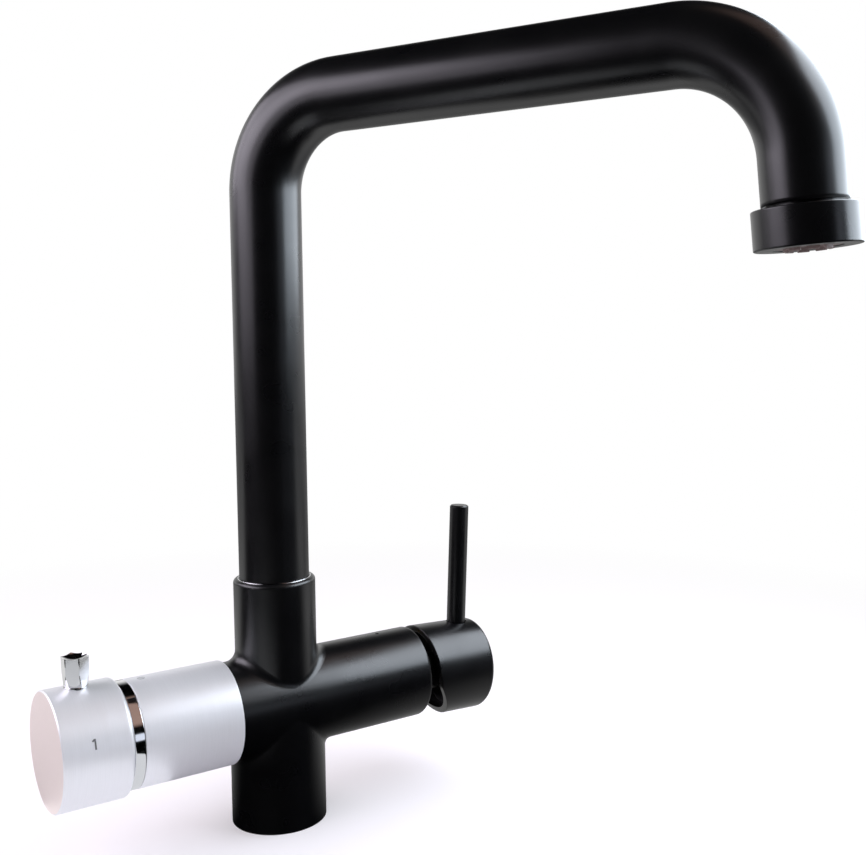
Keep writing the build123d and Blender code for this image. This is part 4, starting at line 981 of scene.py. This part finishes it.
backdrop = times(sky, part_of_sky(UP, 0.6, 0.2), part_of_sky(BACKDROP_SIDE, 0.1, 0.6))
overhead = times(sky, part_of_sky(UP, 0.45, 0.6), part_of_sky(AWAY, 0.25, 0.05))
ceiling = times(sky, overhead, part_of_sky(RIGHT, 0.05, 0.2))
window = part_of_sky(WINDOW_SIDE, 0.990, 0.996)
studio = both(sky_light((1, 1, 1), times(sky, backdrop, BACKDROP)), sky_light(TAN_CEILING, ceiling))
studio = both(studio, sky_light(WINDOW_BLUE, window))
ray = add_node(sky, "LightPath").outputs
mirroring = {0: ray["Is Glossy Ray"], 1: ray["Is Transmission Ray"]}
mirrored = add_node(sky, "Math", mirroring, operation="MAXIMUM").outputs[0]
lit = either(sky, mirrored, sky_light((1, 1, 1), AMBIENT), studio)
add_node(sky, "OutputWorld", {"Surface": either(sky, ray["Is Camera Ray"], lit, sky_light((1, 1, 1), 1.0))})
print(len(sky.nodes), "nodes in the world")

# %% [markdown]
# What shows on the paint is the reflection of large soft panels: one on the right, and two on the left
# behind the tap, one above the other. Each bright line along a tube belongs to one panel, and its place and
# width say where that panel stands and how wide it is. They are area lamps that the camera can't see.

# %% Lamps
DAYLIGHT = (0.81, 0.9, 1.0)
MAUVE = (0.94, 0.88, 1.0)
LAMP_AIM = (0, 0, 0.14)


def panel(name, place, width, height, radiance, colour):
    """An area lamp at a place in metres, turned to the tap. Power = pi * area * radiance."""
    light = bpy.data.lights.new(name, "AREA")
    light.shape, light.size, light.size_y = "RECTANGLE", width, height
    light.energy = np.pi * width * height * radiance
    light.color = colour
    lamp = bpy.data.objects.new(name, light)
    bpy.context.scene.collection.objects.link(lamp)
    away = Vector(place) - Vector(LAMP_AIM)
    lamp.matrix_world = Matrix.Translation(place) @ away.to_track_quat("Z", "Y").to_matrix().to_4x4()
    lamp.visible_camera = False
    print(name, round(light.energy, 2), "W")


panel("right_panel", (0.31, -0.165, 0.345), 0.45, 0.25, 5.5, DAYLIGHT)
panel("upper_left_panel", (-0.42, 0.24, 0.463), 0.643, 0.327, 2.7, MAUVE)
panel("lower_left_panel", (-0.42, 0.055, 0.329), 0.44, 0.302, 1.3, MAUVE)

# %% [markdown]
# The camera stands to the left of the tap, above its arms, and looks slightly down. Its place, turn and
# lens were found from the edges of the tap in the photograph, so the parts fall where the photograph has
# them.

# %% Camera
CAMERA_PLACE = Vector((-0.2132, -0.4572, 0.2251))
CAMERA_YAW, CAMERA_PITCH, CAMERA_ROLL = np.radians([36.44, -4.71, -0.38])
LENS, SENSOR = 47.79, 36.0
SHIFT_X, SHIFT_Y = -0.0798, -0.0324
TAP_MIDDLE = Vector((0, 0, 0.15))
yaw_x, yaw_y = np.sin(CAMERA_YAW), np.cos(CAMERA_YAW)
forward = Vector((yaw_x * np.cos(CAMERA_PITCH), yaw_y * np.cos(CAMERA_PITCH), np.sin(CAMERA_PITCH)))
level = Vector((yaw_y, -yaw_x, 0))
above = level.cross(forward)
right = level * np.cos(CAMERA_ROLL) + above * np.sin(CAMERA_ROLL)
up = above * np.cos(CAMERA_ROLL) - level * np.sin(CAMERA_ROLL)
lens = bpy.data.cameras.new("camera")
lens.lens, lens.sensor_width = LENS, SENSOR
lens.shift_x, lens.shift_y = SHIFT_X, SHIFT_Y
lens.clip_start = 0.01
camera = bpy.data.objects.new("camera", lens)
bpy.context.scene.collection.objects.link(camera)
camera.matrix_world = Matrix.Translation(CAMERA_PLACE) @ Matrix((right, up, -forward)).transposed().to_4x4()
bpy.context.scene.camera = camera
bpy.context.scene.view_settings.view_transform = "Standard"
print("camera", round((CAMERA_PLACE - TAP_MIDDLE).length, 3), "m from the tap")
